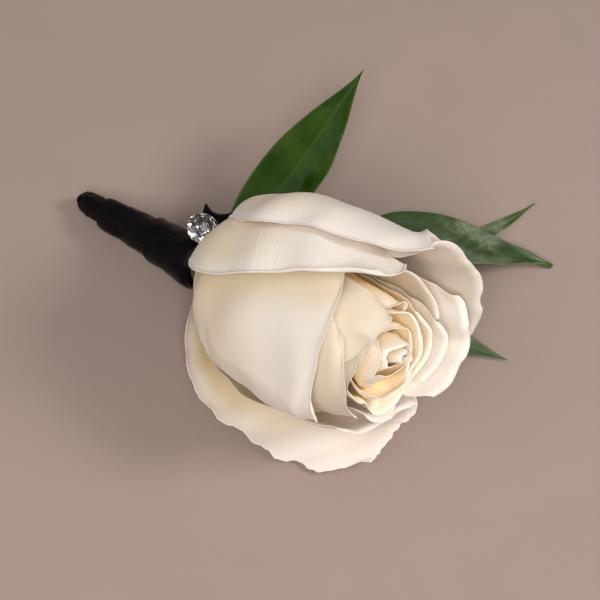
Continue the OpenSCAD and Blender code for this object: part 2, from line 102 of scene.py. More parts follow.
class SmoothField:
    """Smooth, repeatable noise: a seeded sum of sine waves."""

    def __init__(self, seed: int, wavelength: float, dims: int = 1, terms: int = 7) -> None:
        """Draws the waves.

        Args:
            seed: Seed of the waves.
            wavelength: Typical length of a wave, in the unit of the points.
            dims: Number of coordinates of a point.
            terms: Number of waves.
        """
        rng = np.random.default_rng(seed)
        ways = rng.normal(size=(terms, dims))
        ways /= np.linalg.norm(ways, axis=1, keepdims=True)
        lengths = wavelength * rng.uniform(0.65, 1.6, size=(terms, 1))
        self.waves = 2 * math.pi * ways / lengths
        self.phases = rng.uniform(0, 2 * math.pi, size=terms)
        self.scale = math.sqrt(2.0 / terms)

    def __call__(self, *coordinates: Array) -> Array:
        """Value of the field at points.

        Args:
            *coordinates: Coordinates of the points, one array each.

        Returns:
            Values of about -1 to 1.
        """
        total = 0.0
        for wave, phase in zip(self.waves, self.phases):
            total = total + np.sin(sum(w * c for w, c in zip(wave, coordinates)) + phase)
        return total * self.scale


def unit(vectors: Array) -> Array:
    """Vectors scaled to length 1 along their last axis."""
    return vectors / np.maximum(np.linalg.norm(vectors, axis=-1, keepdims=True), 1e-12)


def grid_normals(grid: Array) -> Array:
    """Unit normals of a grid of points, from its neighbours across and along.

    Args:
        grid: Points as rows along, columns across, coordinates.

    Returns:
        One normal for each point.
    """
    wide = np.concatenate([grid[:, :1], grid, grid[:, -1:]], axis=1)
    tall = np.concatenate([grid[:1], grid, grid[-1:]], axis=0)
    return unit(np.cross(wide[:, 2:] - wide[:, :-2], tall[2:] - tall[:-2]))


def spans(grid: Array, axis: int) -> Array:
    """Distance from a grid's first row or column to each point, measured over the sheet.

    Args:
        grid: Points as rows along, columns across, coordinates.
        axis: 0 for distances along, 1 for distances across.

    Returns:
        One distance for each point.
    """
    steps = np.linalg.norm(np.diff(grid, axis=axis), axis=2)
    zero = np.zeros_like(np.take(steps, [0], axis=axis))
    return np.concatenate([zero, np.cumsum(steps, axis=axis)], axis=axis)


def add_object(name: str, data: bpy.types.ID) -> bpy.types.Object:
    """Puts a mesh, light or camera into the scene under a name and returns its object.

    Args:
        name: Name of the object.
        data: Its mesh, light or camera.

    Returns:
        The new object.
    """
    piece = bpy.data.objects.new(name, data)
    bpy.context.scene.collection.objects.link(piece)
    return piece


def add_mesh(
    name: str, points: Array, faces: Sequence[Sequence[int]], smooth: bool = True
) -> bpy.types.Object:
    """Makes an object from points in metres and faces.

    Args:
        name: Name of the object and its mesh.
        points: Points, one row each.
        faces: Point numbers of each face.
        smooth: Whether the faces are shaded smooth.

    Returns:
        The new object.
    """
    mesh = bpy.data.meshes.new(name)
    mesh.from_pydata(np.asarray(points, float).tolist(), [], [list(map(int, f)) for f in faces])
    mesh.validate()
    mesh.polygons.foreach_set("use_smooth", [smooth] * len(mesh.polygons))
    mesh.update()
    return add_object(name, mesh)


def add_attribute(piece: bpy.types.Object, name: str, values: Array) -> None:
    """Stores three numbers for each point of a piece, for its material to read.

    Args:
        piece: The piece.
        name: Name of the attribute.
        values: Three numbers for each of its points.
    """
    attribute = piece.data.attributes.new(name, "FLOAT_VECTOR", "POINT")
    attribute.data.foreach_set("vector", np.ascontiguousarray(values, dtype=np.float32).ravel())


def tube_faces(rings: int, sides: int) -> list[list[int]]:
    """Faces of a tube of closed rings, with a fan over each of its ends.

    Args:
        rings: Number of rings.
        sides: Number of points of a ring.

    Returns:
        Point numbers of each face. The two points after the last ring close the tube's first
        and its last end.
    """
    index = np.arange(rings * sides).reshape(rings, sides)
    after = np.roll(index, -1, axis=1)
    walls = np.stack([index[:-1], after[:-1], after[1:], index[1:]], axis=-1).reshape(-1, 4)
    first = np.stack([after[0], index[0], np.full(sides, rings * sides)], axis=-1)
    last = np.stack([index[-1], after[-1], np.full(sides, rings * sides + 1)], axis=-1)
    return walls.tolist() + first.tolist() + last.tolist()


@dataclass
class Sheet:
    """A thin closed sheet over a grid of points, with a rounded margin.

    Attributes:
        grid: Points of its middle surface, rows along and columns across, in metres.
        thickness: Thickness at each point, in metres.
        span: For each point: place across from -1 to 1, along from 0 to 1, margin distance in mm.
        vein: For each point: place across the veins and along them, in mm.
    """

    grid: Array
    thickness: Array
    span: Array
    vein: Array

    def build(self, name: str) -> bpy.types.Object:
        """Makes the sheet's mesh.

        Args:
            name: Name of the new object.

        Returns:
            The object, with the attributes span and vein; vein's third number is 1 on the
            face that the normals point out of and 0 on the other.
        """
        rows, columns = self.grid.shape[:2]
        ring = self.margin(rows, columns)
        flat, thickness = self.grid.reshape(-1, 3), self.thickness.ravel()
        normals = grid_normals(self.grid).reshape(-1, 3)
        half = normals * (thickness / 2)[:, None]
        course = np.roll(flat[ring], 1, axis=0) - np.roll(flat[ring], -1, axis=0)
        out = unit(np.cross(normals[ring], course))
        edge = flat[ring] + out * (thickness[ring] / 2)[:, None]
        points = np.vstack([flat + half, flat - half, edge])
        piece = add_mesh(name, points, self._faces(rows, columns, ring))
        span, vein = self.span.reshape(-1, 3), self.vein.reshape(-1, 2)
        sides = np.concatenate([np.ones(len(vein)), np.zeros(len(vein)), np.full(len(ring), 0.5)])
        add_attribute(piece, "span", np.vstack([span, span, span[ring]]))
        add_attribute(piece, "vein", np.column_stack([np.vstack([vein, vein, vein[ring]]), sides]))
        return piece

    @staticmethod
    def margin(rows: int, columns: int) -> Array:
        """Numbers of the grid's margin points, once round."""
        index = np.arange(rows * columns).reshape(rows, columns)
        return np.concatenate([index[0, :-1], index[:-1, -1], index[-1, :0:-1], index[:0:-1, 0]])

    @staticmethod
    def _faces(rows: int, columns: int, ring: Array) -> list[list[int]]:
        """Faces of the two faces of the sheet and of the rounded margin between them.

        Args:
            rows: Number of rows of the grid.
            columns: Number of its columns.
            ring: Numbers of its margin's points.

        Returns:
            Point numbers of each face.
        """
        count = rows * columns
        index = np.arange(count).reshape(rows, columns)
        corner = [index[:-1, :-1], index[:-1, 1:], index[1:, 1:], index[1:, :-1]]
        quads = np.stack([c.ravel() for c in corner], axis=1)
        ring_next = np.roll(ring, -1)
        middle = 2 * count + np.arange(len(ring))
        middle_next = np.roll(middle, -1)
        above = np.stack([ring_next, ring, middle, middle_next], axis=1)
        below = np.stack([middle_next, middle, ring + count, ring_next + count], axis=1)
        return np.vstack([quads, quads[:, ::-1] + count, above, below]).tolist()


class Margin(Enum):
    """The three free margins of a petal."""

    FIRST = "first"
    SECOND = "second"
    RIM = "rim"


@dataclass(frozen=True)
class Roll:
    """A stretch of a petal's margin that curls over.

    Attributes:
        margin: Margin that curls.
        width: Breadth of the curling band, in millimetres.
        angle: Turn at the very edge, in degrees; positive curls outwards.
        reach: How far the margin is drawn out before it curls, in millimetres.
        start: Share along the margin where the curl has fully grown.
        end: Share along the margin where it begins to fade.
        fade: Share over which it grows and fades.
        power: How late the turn comes; below 1 it is a fold and above 1 a curl.
    """

    margin: Margin
    width: float
    angle: float
    reach: float = 0.0
    start: float = 0.0
    end: float = 1.0
    fade: float = 0.15
    power: float = 1.6

    def strength(self, place: Array) -> Array:
        """How much of the full angle the curl has at places from 0 to 1 along the margin."""
        grow = smoothstep(self.start - self.fade, self.start + 1e-6, place)
        return grow * (1.0 - smoothstep(self.end - 1e-6, self.end + self.fade, place))


@dataclass(frozen=True)
class PetalForm:
    """One petal: its sections from foot to rim, and how its margins behave.

    Attributes:
        node: Name of the solid that the petal stands for.
        rows: Sections: up (share of the bloom's height), out (share of its radius), turn of
            the first and of the second margin (degrees) and, where the margins flare, the
            flare of each (share of radius).
        corners: How far the rim falls back at its two corners, as a share of the height.
        rolls: Curled stretches of its margins.
        ruffle: Height of the waves along its margins, in millimetres.
        wavelength: Length of those waves, in millimetres.
        nibble: Unevenness of the cut of its margins, in millimetres.
        swell: Unevenness of its face, in millimetres.
        crumple: Depth of its regular waves round the bloom, as a share of its radius.
        scroll: How much nearer to the axis its second margin lies, as a share of its radius.
        seed: Seed of everything uneven in it.
    """

    node: str
    rows: tuple[Row, ...]
    corners: tuple[float, float]
    rolls: tuple[Roll, ...] = ()
    ruffle: float = 0.3
    wavelength: float = 9.0
    nibble: float = 0.15
    swell: float = 0.25
    crumple: float = 0.0
    scroll: float = 0.0
    seed: int = 1


# How late across a petal its flare and its corners' fall come, and how late along it its rim
FLARE_POWER = 3.0
FALL_POWER = 2.5
RIM_POWER = 3.0
# Regular waves round the bloom
RIPPLE_COUNT = 5
# Bands along a margin that are ruffled and unevenly cut, in millimetres
RUFFLE_BAND = 7.0
CUT_BAND = 4.0
# Where the side margins read the waves and cuts that the rim reads at 0, in millimetres
SIDE_WAVES = 31.0
FIRST_CUTS = 43.0
SECOND_CUTS = 17.0
# Lengths of the swells in a petal's face and of the coarse and fine cuts, in millimetres
SWELL_LENGTH = 15.0
COARSE_CUT = 9.0
FINE_CUT = 3.2
# Seeds of the bends that all petals share
WARP_SEED = 90
HEART_WARP_SEED = 80

# The five outer petals
OUTER_PETALS = (
    PetalForm(
        node="fallen_petal",
        rows=(
            (0.000, 0.27, 142, 198),
            (0.036, 0.45, 126, 210),
            (0.100, 0.66, 118, 218, 0.04, 0),
            (0.220, 0.87, 119, 222, 0.20, 0.04),
            (0.420, 1.03, 131, 220, 0.31, 0.05),
            (0.640, 1.16, 140, 213, 0.34, 0.05),
            (0.840, 1.25, 149, 204, 0.25, 0.04),
            (0.980, 1.25, 160, 196, 0.12, 0.02),
        ),
        corners=(0, 0.04),
        rolls=(
            Roll(Margin.FIRST, 3.0, -16, 1.0, 0.12, 0.5, 0.12),
            Roll(Margin.RIM, 2.2, 28, 0.3),
        ),
        ruffle=0.45, wavelength=15.0, nibble=0.42, swell=0.35, seed=11,
    ),
    PetalForm(
        node="crest_petal",
        rows=(
            (0.000, 0.27, -122, -84),
            (0.036, 0.46, -126, -80),
            (0.100, 0.66, -128, -42),
            (0.220, 0.92, -130, -11),
            (0.400, 1.09, -130, -6, 0, 0.02),
            (0.600, 1.14, -128, -13, 0, 0.02),
            (0.800, 1.15, -122, -20, 0, 0.02),
            (0.950, 1.17, -112, -27, 0, 0.02),
            (1.040, 1.24, -96, -39),
        ),
        corners=(0.04, -0.10),
        rolls=(
            Roll(Margin.SECOND, 10.0, -20, 0.5, 0.30, 0.95, 0.25, 1.0),
            Roll(Margin.SECOND, 1.3, 60, 0.6, 0.45, 0.85, 0.22),
            Roll(Margin.RIM, 3.0, 45, -2.4, 0.3, 0.65, 0.3),
        ),
        ruffle=0.2, wavelength=16.0, nibble=0.12, swell=0.12, seed=12,
    ),
    PetalForm(
        node="back_petal",
        rows=(
            (0.022, 0.25, -136, -96),
            (0.055, 0.41, -136, -88),
            (0.118, 0.60, -137, -62),
            (0.238, 0.86, -137, -50),
            (0.400, 1.02, -138, -46),
            (0.600, 1.07, -142, -46, 0, -0.06),
            (0.800, 1.08, -144, -46, 0, -0.17),
            (0.960, 1.11, -138, -48, 0, -0.22),
            (1.120, 1.23, -128, -54, 0, -0.12),
        ),
        corners=(0.05, 0.03),
        rolls=(
            Roll(Margin.RIM, 2.4, 70, -0.5, 0.0, 1.0, 0.2),
            Roll(Margin.FIRST, 2.2, 60, 0.0, 0.6, 1.0, 0.2),
        ),
        ruffle=0.3, wavelength=15.0, swell=0.3, seed=13,
    ),
    PetalForm(
        node="hood_petal",
        rows=(
            (0.036, 0.25, -8, 22),
            (0.070, 0.42, -24, 25),
            (0.134, 0.62, -62, 28),
            (0.254, 0.85, -76, 31, 0, 0.02),
            (0.400, 0.95, -72, 29, 0, 0.03),
            (0.600, 1.00, -58, 21, 0, 0.04),
            (0.800, 1.00, -43, 9, 0, 0.04),
            (0.960, 0.98, -34, -3, 0, 0.04),
            (1.120, 0.97, -29, -15, 0, 0.03),
        ),
        corners=(0.02, 0.01),
        rolls=(
            Roll(Margin.SECOND, 1.6, 115, 1.7, 0.45, 1.0, 0.25),
            Roll(Margin.RIM, 1.2, 70, 0.0, 0.0, 1.0, 0.3),
        ),
        ruffle=0.06, wavelength=18.0, nibble=0.05, swell=0.14, seed=14,
    ),
    PetalForm(
        node="wrap_petal",
        rows=(
            (0.054, 0.22, -10, 76),
            (0.090, 0.33, -18, 86),
            (0.148, 0.48, -28, 90),
            (0.266, 0.74, -36, 85),
            (0.410, 0.875, -36, 80, 0, 0.03),
            (0.600, 0.93, -35, 77, 0, 0.05),
            (0.800, 0.92, -31, 81, 0, 0.05),
            (0.920, 0.91, -26, 88, 0, 0.04),
            (0.990, 0.89, -22, 94, 0, 0.03),
        ),
        corners=(0.16, 0),
        rolls=(
            Roll(Margin.SECOND, 9.0, -30, 8.0, 0.58, 0.84, 0.16, 0.35),
            Roll(Margin.RIM, 1.8, 30, 0.2, 0.2, 0.8, 0.3),
            Roll(Margin.RIM, 1.8, 100, 0.6, 0.93, 1.0, 0.14),
        ),
        ruffle=0.15, wavelength=16.0, nibble=0.08, swell=0.18, seed=15,
    ),
)

# The seven petals between them and the heart
MIDDLE_PETALS = (
    PetalForm(
        node="low_petal",
        rows=(
            (0.022, 0.25, 140, 192),
            (0.055, 0.39, 130, 198),
            (0.118, 0.54, 124, 204),
            (0.238, 0.77, 118, 208),
            (0.420, 0.93, 117, 209),
            (0.700, 0.96, 114, 206, 0, 0.02),
            (0.900, 0.92, 114, 200, 0, 0.08),
            (1.010, 0.87, 122, 194, 0, 0.13),
        ),
        corners=(0.06, 0),
        rolls=(Roll(Margin.RIM, 1.8, 60, 0.5, 0.1, 0.9, 0.2),),
        ruffle=0.3, wavelength=13.0, seed=21,
    ),
    PetalForm(
        node="far_petal",
        rows=(
            (0.050, 0.22, -172, -104),
            (0.084, 0.34, -174, -98),
            (0.142, 0.47, -177, -92),
            (0.262, 0.70, -179, -86),
            (0.420, 0.84, -180, -82),
            (0.700, 0.88, -178, -80, -0.02, 0),
            (0.950, 0.90, -171, -86, -0.03, 0),
            (1.110, 0.97, -161, -94, -0.02, 0),
        ),
        corners=(0.03, 0.06),
        rolls=(Roll(Margin.RIM, 2.2, 90, 0.8, 0.1, 0.9, 0.2),),
        ruffle=0.45, wavelength=11.0, seed=22,
    ),
    PetalForm(
        node="cuff_petal",
        rows=(
            (0.078, 0.19, 30, 112),
            (0.112, 0.30, 14, 122),
            (0.170, 0.43, 2, 128),
            (0.285, 0.66, -7, 132),
            (0.450, 0.82, -8, 134),
            (0.700, 0.85, -5, 132),
            (0.880, 0.81, 3, 126),
            (0.990, 0.73, 14, 118),
            (1.060, 0.66, 26, 116),
        ),
        corners=(0.13, 0.02),
        rolls=(Roll(Margin.RIM, 1.3, 60, 0.4, 0.1, 1.0, 0.2),),
        ruffle=0.2, wavelength=12.0, nibble=0.08, seed=23,
    ),
    PetalForm(
        node="lap_petal",
        rows=(
            (0.078, 0.19, -112, -40),
            (0.112, 0.30, -118, -32),
            (0.170, 0.42, -121, -26),
            (0.285, 0.63, -124, -22),
            (0.450, 0.77, -124, -20),
            (0.700, 0.81, -122, -20),
            (0.880, 0.81, -118, -22),
            (0.970, 0.78, -113, -32),
            (1.045, 0.745, -102, -46),
        ),
        corners=(0, 0.06),
        rolls=(Roll(Margin.RIM, 1.6, 80, -0.8, 0.0, 1.0, 0.2),),
        ruffle=0.4, wavelength=10.0, nibble=0.12, seed=24,
    ),
    PetalForm(
        node="veil_petal",
        rows=(
            (0.106, 0.15, -52, 52),
            (0.140, 0.26, -56, 58),
            (0.212, 0.39, -56, 64),
            (0.315, 0.56, -54, 66),
            (0.460, 0.70, -46, 66),
            (0.700, 0.74, -27, 66),
            (0.880, 0.69, -14, 65),
            (0.990, 0.575, -22, 58),
            (1.060, 0.46, -34, 46),
        ),
        corners=(0, 0.03),
        rolls=(Roll(Margin.RIM, 1.2, 60, 0.4, 0.1, 1.0, 0.2),),
        ruffle=0.2, wavelength=12.0, nibble=0.08, seed=25,
    ),
    PetalForm(
        node="shell_petal",
        rows=(
            (0.106, 0.15, -172, -96),
            (0.140, 0.25, -173, -92),
            (0.212, 0.37, -174, -90),
            (0.315, 0.54, -176, -88),
            (0.460, 0.67, -178, -88),
            (0.700, 0.71, -175, -88),
            (0.950, 0.70, -166, -90),
            (1.100, 0.67, -158, -98),
        ),
        corners=(0.03, 0.03),
        rolls=(Roll(Margin.RIM, 1.6, 85, 0.5, 0.1, 0.9, 0.2),),
        ruffle=0.3, wavelength=9.0, nibble=0.12, seed=26,
    ),
    PetalForm(
        node="bowl_petal",
        rows=(
            (0.106, 0.15, 132, 170),
            (0.140, 0.26, 126, 171),
            (0.212, 0.39, 120, 172),
            (0.315, 0.57, 115, 174),
            (0.460, 0.75, 112, 182),
            (0.700, 0.77, 112, 180),
            (0.920, 0.70, 124, 178),
            (1.060, 0.66, 132, 176),
        ),
        corners=(0.03, 0.03),
        rolls=(Roll(Margin.RIM, 1.6, 70, 0.5, 0.1, 0.9, 0.2),),
        ruffle=0.3, wavelength=9.0, nibble=0.12, seed=27,
    ),
)

# Heart petals, outside in: turn and half span (degrees), belly and mouth (shares of the bloom's
# radius), reach (share of its height), curl of the rim (degrees); the last one is the bud
HEART_TABLE = (
    (-150, 75, 0.62, 0.59, 1.05, 70),
    (-30, 75, 0.575, 0.50, 1.01, 65),
    (95, 80, 0.53, 0.455, 1.035, 60),
    (-110, 70, 0.49, 0.415, 1.05, 60),
    (20, 80, 0.45, 0.375, 1.055, 50),
    (165, 80, 0.41, 0.335, 1.065, 50),
    (-70, 80, 0.37, 0.295, 1.075, 40),
    (70, 80, 0.33, 0.25, 1.085, 30),
    (-160, 85, 0.29, 0.215, 1.09, 0),
    (-30, 90, 0.25, 0.185, 1.10, -30),
    (110, 95, 0.20, 0.10, 1.10, -40),
)


@dataclass(frozen=True)
class HeartForms:
    """Turns the heart's table into the forms of its petals.

    Attributes:
        up: Height at which the outermost stands on the core, as a share of the bloom's height.
        out: Its distance from the axis there, as a share of the bloom's radius.
        step_up: How much higher each further petal stands.
        step_in: How much nearer to the axis it stands.
        corner: How far the rim falls back at its corners, as a share of the height.
        narrow: Width of a petal at its foot, as a share of its full width.
        rim_span: Width at its rim, as a share of its full width.
        rises: How far above its foot a petal's next two sections lie.
        belly_at: Height of its belly.
        rim_band: How far below the rim its last section but one lies.
        bud_before: How far the bud is wound before its turn, in degrees.
        bud_after: How far it is wound on after it, in degrees.
        bud_scroll: How much nearer to the axis the bud's inner margin lies.
        seed: Seed before that of the outermost petal.
        bud_seed: Seed of the bud.
    """

    up: float = 0.14
    out: float = 0.128
    step_up: float = 0.024
    step_in: float = 0.002
    corner: float = 0.03
    narrow: float = 0.6
    rim_span: float = 0.85
    rises: tuple[float, float] = (0.10, 0.26)
    belly_at: float = 0.70
    rim_band: float = 0.10
    bud_before: float = 110.0
    bud_after: float = 460.0
    bud_scroll: float = 0.78
    seed: int = 40
    bud_seed: int = 57

    def _foot(self, number: int) -> tuple[float, float]:
        """Height and distance from the axis at which a petal stands on the core."""
        return self.up + self.step_up * (number - 1), self.out - self.step_in * (number - 1)

    def petal(self, number: int) -> PetalForm:
        """The form of one heart petal.

        Args:
            number: Its place in the heart's table, from 1, the outermost.

        Returns:
            Its form, with sections from the core to its rim.
        """
        turn, span, belly, mouth, reach, curl = HEART_TABLE[number - 1]
        foot, out = self._foot(number)
        first, second = turn - span, turn + span
        near, far = turn - self.narrow * span, turn + self.narrow * span
        rows = (
            (foot, out, near, far),
            (foot + self.rises[0], 0.6 * belly, (first + near) / 2, (second + far) / 2),
            (foot + self.rises[1], 0.9 * belly, first, second),
            (self.belly_at, belly, first, second),
            (reach - self.rim_band, (belly + mouth) / 2, first, second),
            (reach, mouth, turn - self.rim_span * span, turn + self.rim_span * span),
        )
        return PetalForm(
            node=f"heart_petal_{number}",
            rows=rows,
            corners=(self.corner, self.corner),
            rolls=(Roll(Margin.RIM, 1.1 + 0.1 * (number % 3), curl, 0.3, 0.1, 0.9, 0.2),),
            ruffle=0.16, wavelength=8.0, swell=0.08, crumple=0.05, seed=self.seed + number,
        )

    def bud(self) -> PetalForm:
        """The form of the innermost petal, rolled up into the bud in the middle.

        Returns:
            Its form, wound more than one and a half times round.
        """
        number = len(HEART_TABLE)
        turn, _, belly, _, reach, curl = HEART_TABLE[-1]
        foot, out = self._foot(number)
        sides = (turn - self.bud_before, turn + self.bud_after)
        rows = (
            (foot, out, *sides),
            (foot + self.rises[0], 0.7 * belly, *sides),
            (foot + self.rises[1], 0.95 * belly, *sides),
            (0.75, belly, *sides),
            (reach - 0.08, 0.9 * belly, *sides),
            (reach, 0.66 * belly, *sides),
        )
        return PetalForm(
            node=f"heart_petal_{number}",
            rows=rows,
            corners=(0.05, -0.02),
            rolls=(Roll(Margin.RIM, 0.7, curl, 0.0, 0.0, 1.0, 0.1),),
            ruffle=0.12, wavelength=5.0, nibble=0.18, swell=0.05, crumple=0.04, scroll=self.bud_scroll,
            seed=self.bud_seed,
        )


@dataclass(frozen=True)
class Bloom:
    """The rose: its size, its place, and the petals that make it.

    Attributes:
        radius: Radius at its belly, in metres.
        height: Length from the neck to the heart, in metres.
        slope: Slope of its axis above the floor, in degrees.
        cad_thickness: Thickness of the outer petals' solids, in metres.
        warp: How far the whole bloom is bent out of its regular shape, in metres.
        warp_length: Length of those bends, as a share of the radius.
        heart_warp: How far the heart is bent besides, in metres.
        heart_warp_length: Length of its bends, as a share of the radius.
        heart_shift: How far the heart's mouth lies off the bloom's axis, in metres.
        heart_turn: Direction of that shift round the axis, in degrees.
    """

    radius: float = 20 * MM
    height: float = 48 * MM
    slope: float = 18.5
    cad_thickness: float = 0.8 * MM
    warp: float = 0.45 * MM
    warp_length: float = 1.6
    heart_warp: float = 0.75 * MM
    heart_warp_length: float = 0.55
    heart_shift: float = 1.2 * MM
    heart_turn: float = 135.0

    def local(self, up: Array, out: Array, turn: Array) -> Array:
        """Points given round the bloom's axis, seen from the neck.

        Args:
            up: Distances along the axis, in metres.
            out: Distances from the axis, in metres.
            turn: Turns round the axis from its top, towards the viewer, in degrees.

        Returns:
            Points relative to the neck, in metres.
        """
        slope = math.radians(self.slope)
        along = np.array([math.cos(slope), 0.0, math.sin(slope)])
        top = np.array([-math.sin(slope), 0.0, math.cos(slope)])
        near = np.array([0.0, -1.0, 0.0])
        angle = np.radians(turn)
        up, out = np.asarray(up, float), np.asarray(out, float)
        high, wide = out * np.cos(angle), out * np.sin(angle)
        return up[..., None] * along + high[..., None] * top + wide[..., None] * near

    def surface(self, form: PetalForm, t: Array, s: Array) -> Array:
        """Regular surface of a petal, before anything uneven is added.

        Args:
            form: The petal.
            t: Places from foot to rim, 0 to 1.
            s: Places from the first to the second margin, -1 to 1.

        Returns:
            A grid of points relative to the neck, rows along t and columns along s.
        """
        section = row_at([(*row, 0.0, 0.0)[:6] for row in form.rows], t)
        up, out, first, second, flare_a, flare_b = (section[:, i : i + 1] for i in range(6))
        t, s = t[:, None], s[None, :]
        turn = (first + second) / 2 + (second - first) / 2 * s
        flare = np.where(s < 0, flare_a, flare_b) * np.abs(s) ** FLARE_POWER
        corner = np.where(s < 0, form.corners[0], form.corners[1])
        fall = corner * np.abs(s) ** FALL_POWER * t**RIM_POWER
        ripple = 1 + form.crumple * np.sin(np.radians(RIPPLE_COUNT * turn)) * t**RIM_POWER
        wound = 1 - form.scroll * (s + 1) / 2
        return self.local((up - fall) * self.height, (out + flare) * ripple * wound * self.radius, turn)

    def bent(self, grid: Array) -> Array:
        """Bends points with a field that all petals share, so that they stay nested.

        Args:
            grid: Points relative to the neck, in metres.

        Returns:
            The bent points.
        """
        along = self.local(np.array(1.0), np.array(0.0), np.array(0.0))
        up = grid @ along
        out = np.linalg.norm(grid - up[..., None] * along, axis=-1) / self.radius
        up = up / self.height
        place = np.moveaxis(grid / self.radius, -1, 0)
        aside = self.local(np.array(0.0), np.array(self.heart_shift), np.array(self.heart_turn))
        core = smoothstep(0.45, 0.85, up) * (1 - smoothstep(0.45, 0.75, out))

        def waves(seed: int, wavelength: float, height: Array) -> Array:
            """Offsets by a smooth field of a height given for each point."""
            fields = [SmoothField(seed + i, wavelength, 3)(*place) for i in range(3)]
            return np.stack(fields, axis=-1) * height[..., None]

        whole = waves(WARP_SEED, self.warp_length, self.warp * smoothstep(0.1, 0.6, up))
        heart = waves(HEART_WARP_SEED, self.heart_warp_length, self.heart_warp * core)
        return grid + whole + heart + aside * core[..., None]

    def find_neck(self) -> Array:
        """Place of the neck in the frame, found by setting one petal against its solid.

        Returns:
            Its place, in metres.
        """
        form = OUTER_PETALS[1]
        grid = self.surface(form, np.linspace(0, 1, 11), np.linspace(-1, 1, 13))
        offset = grid_normals(grid) * self.cad_thickness / 2
        points = np.concatenate([grid + offset, grid - offset]).reshape(-1, 3)
        low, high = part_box(form.node)
        return (np.array(low) + np.array(high) - points.min(axis=0) - points.max(axis=0)) / 2


class Petal:
    """Builds one petal of the bloom in full detail.

    Attributes:
        lowest: Height of the lowest place of its middle surface, in millimetres.
        give: How softly it comes to lie there, in millimetres.
        foot_thickness: Thickness of its middle at the foot, in millimetres.
        thinning: How much thinner its middle is at the rim, in millimetres.
        edge_thickness: Thickness at its margins, in millimetres.
        edge_band: Breadth over which the margins thicken, in millimetres.
        fan: How strongly its veins fan out from the middle.
    """

    lowest: float = 0.3
    give: float = 0.45
    foot_thickness: float = 0.42
    thinning: float = 0.14
    edge_thickness: float = 0.15
    edge_band: float = 6.0
    fan: float = 0.33

    def __init__(self, bloom: Bloom, neck: Array, form: PetalForm, across: int, along: int) -> None:
        """Takes the petal's place and form.

        Args:
            bloom: The bloom that it belongs to.
            neck: Place of the neck, in metres.
            form: The petal's form.
            across: Number of columns of its mesh.
            along: Number of rows of its mesh.
        """
        self.bloom = bloom
        self.neck = neck
        self.form = form
        # Columns and rows lie closer together towards the free margins
        even, rise = np.linspace(-1, 1, across + 1), np.linspace(0, 1, along + 1)
        self.s = 0.55 * even + 0.45 * np.sin(even * math.pi / 2)
        self.t = 0.6 * rise + 0.4 * np.sin(rise * math.pi / 2)
        self.columns, self.rows = np.meshgrid(self.s, self.t)

    def build(self) -> bpy.types.Object:
        """Makes the petal's mesh.

        Returns:
            The petal.
        """
        grid = self._uneven(self.bloom.bent(self.bloom.surface(self.form, self.t, self.s)))
        for roll in self.form.rolls:
            grid = self._rolled(grid, roll)
        grid = self._laid(grid)
        return self._sheet(grid).build(self.form.node.replace("_petal", "_rose_petal"))

    def _distances(self, grid: Array) -> tuple[Array, Array, Array]:
        """Distances from the first margin, the second margin and the rim, in millimetres.

        Args:
            grid: Points of the petal, in metres.

        Returns:
            The three distances of each point.
        """
        across = spans(grid, 1) / MM
        along = spans(grid, 0) / MM
        return across, across[:, -1:] - across, along[-1:] - along

    def _uneven(self, grid: Array) -> Array:
        """Adds swells, ruffles and an unevenly cut margin.

        Args:
            grid: Points of the regular petal, in metres.

        Returns:
            The uneven grid.
        """
        form = self.form
        margins = self._distances(grid)
        first, second, rim = margins
        along = spans(grid, 0) / MM
        swell = SmoothField(form.seed, SWELL_LENGTH, 2)(first, along) * form.swell
        swell = swell * smoothstep(2.0, 14.0, along)
        quick = SmoothField(form.seed + 100, form.wavelength)
        slow = SmoothField(form.seed + 150, 2.5 * form.wavelength)

        def ruffle(place: Array, distance: Array) -> Array:
            """Waves at a place along a margin, which come and go and fade away from it."""
            here = quick(place) * smoothstep(-0.7, 0.9, slow(place))
            return here * (1 - smoothstep(0, RUFFLE_BAND, distance))

        sides = ruffle(along + SIDE_WAVES, np.minimum(first, second))
        lift = form.ruffle * smoothstep(0.2, 0.6, self.t)[:, None] * (ruffle(first, rim) + 0.7 * sides)
        grid = grid + grid_normals(grid) * ((swell + lift) * MM)[..., None]
        return self._nibbled(grid, along, margins)

    def _nibbled(self, grid: Array, along: Array, margins: tuple[Array, Array, Array]) -> Array:
        """Moves the margins in and out within the sheet, so that their cut is uneven.

        Args:
            grid: Points of the petal, in metres.
            along: Distances from its foot, in millimetres.
            margins: Distances from its two side margins and from its rim, in millimetres.

        Returns:
            The grid with its uneven cut.
        """
        form = self.form
        first, second, rim = margins
        coarse = SmoothField(form.seed + 200, COARSE_CUT)
        fine = SmoothField(form.seed + 300, FINE_CUT)
        inside = unit(np.gradient(grid, axis=0))
        aside = unit(np.gradient(grid, axis=1))
        grow = smoothstep(0.25, 0.6, self.t)[:, None]

        def cut(place: Array, distance: Array) -> Array:
            """How far the margin moves outwards at a place along it."""
            depth = coarse(place) + 0.25 * fine(place) - 0.4
            return form.nibble * MM * depth * (1 - smoothstep(0, CUT_BAND, distance))

        grid = grid + inside * cut(first, rim)[..., None]
        grid = grid + aside * (grow * cut(along + SECOND_CUTS, second))[..., None]
        return grid - aside * (grow * cut(along + FIRST_CUTS, first))[..., None]

    def _towards(self, grid: Array, margin: Margin) -> tuple[Array, Array, Array]:
        """Distance from a margin, the direction towards it, and the place along it.

        Args:
            grid: Points of the petal, in metres.
            margin: The margin.

        Returns:
            Distances in millimetres, unit vectors and places from 0 to 1.
        """
        first, second, rim = self._distances(grid)
        if margin is Margin.RIM:
            return rim, unit(np.gradient(grid, axis=0)), (self.columns + 1) / 2
        aside = unit(np.gradient(grid, axis=1))
        return (second, aside, self.rows) if margin is Margin.SECOND else (first, -aside, self.rows)

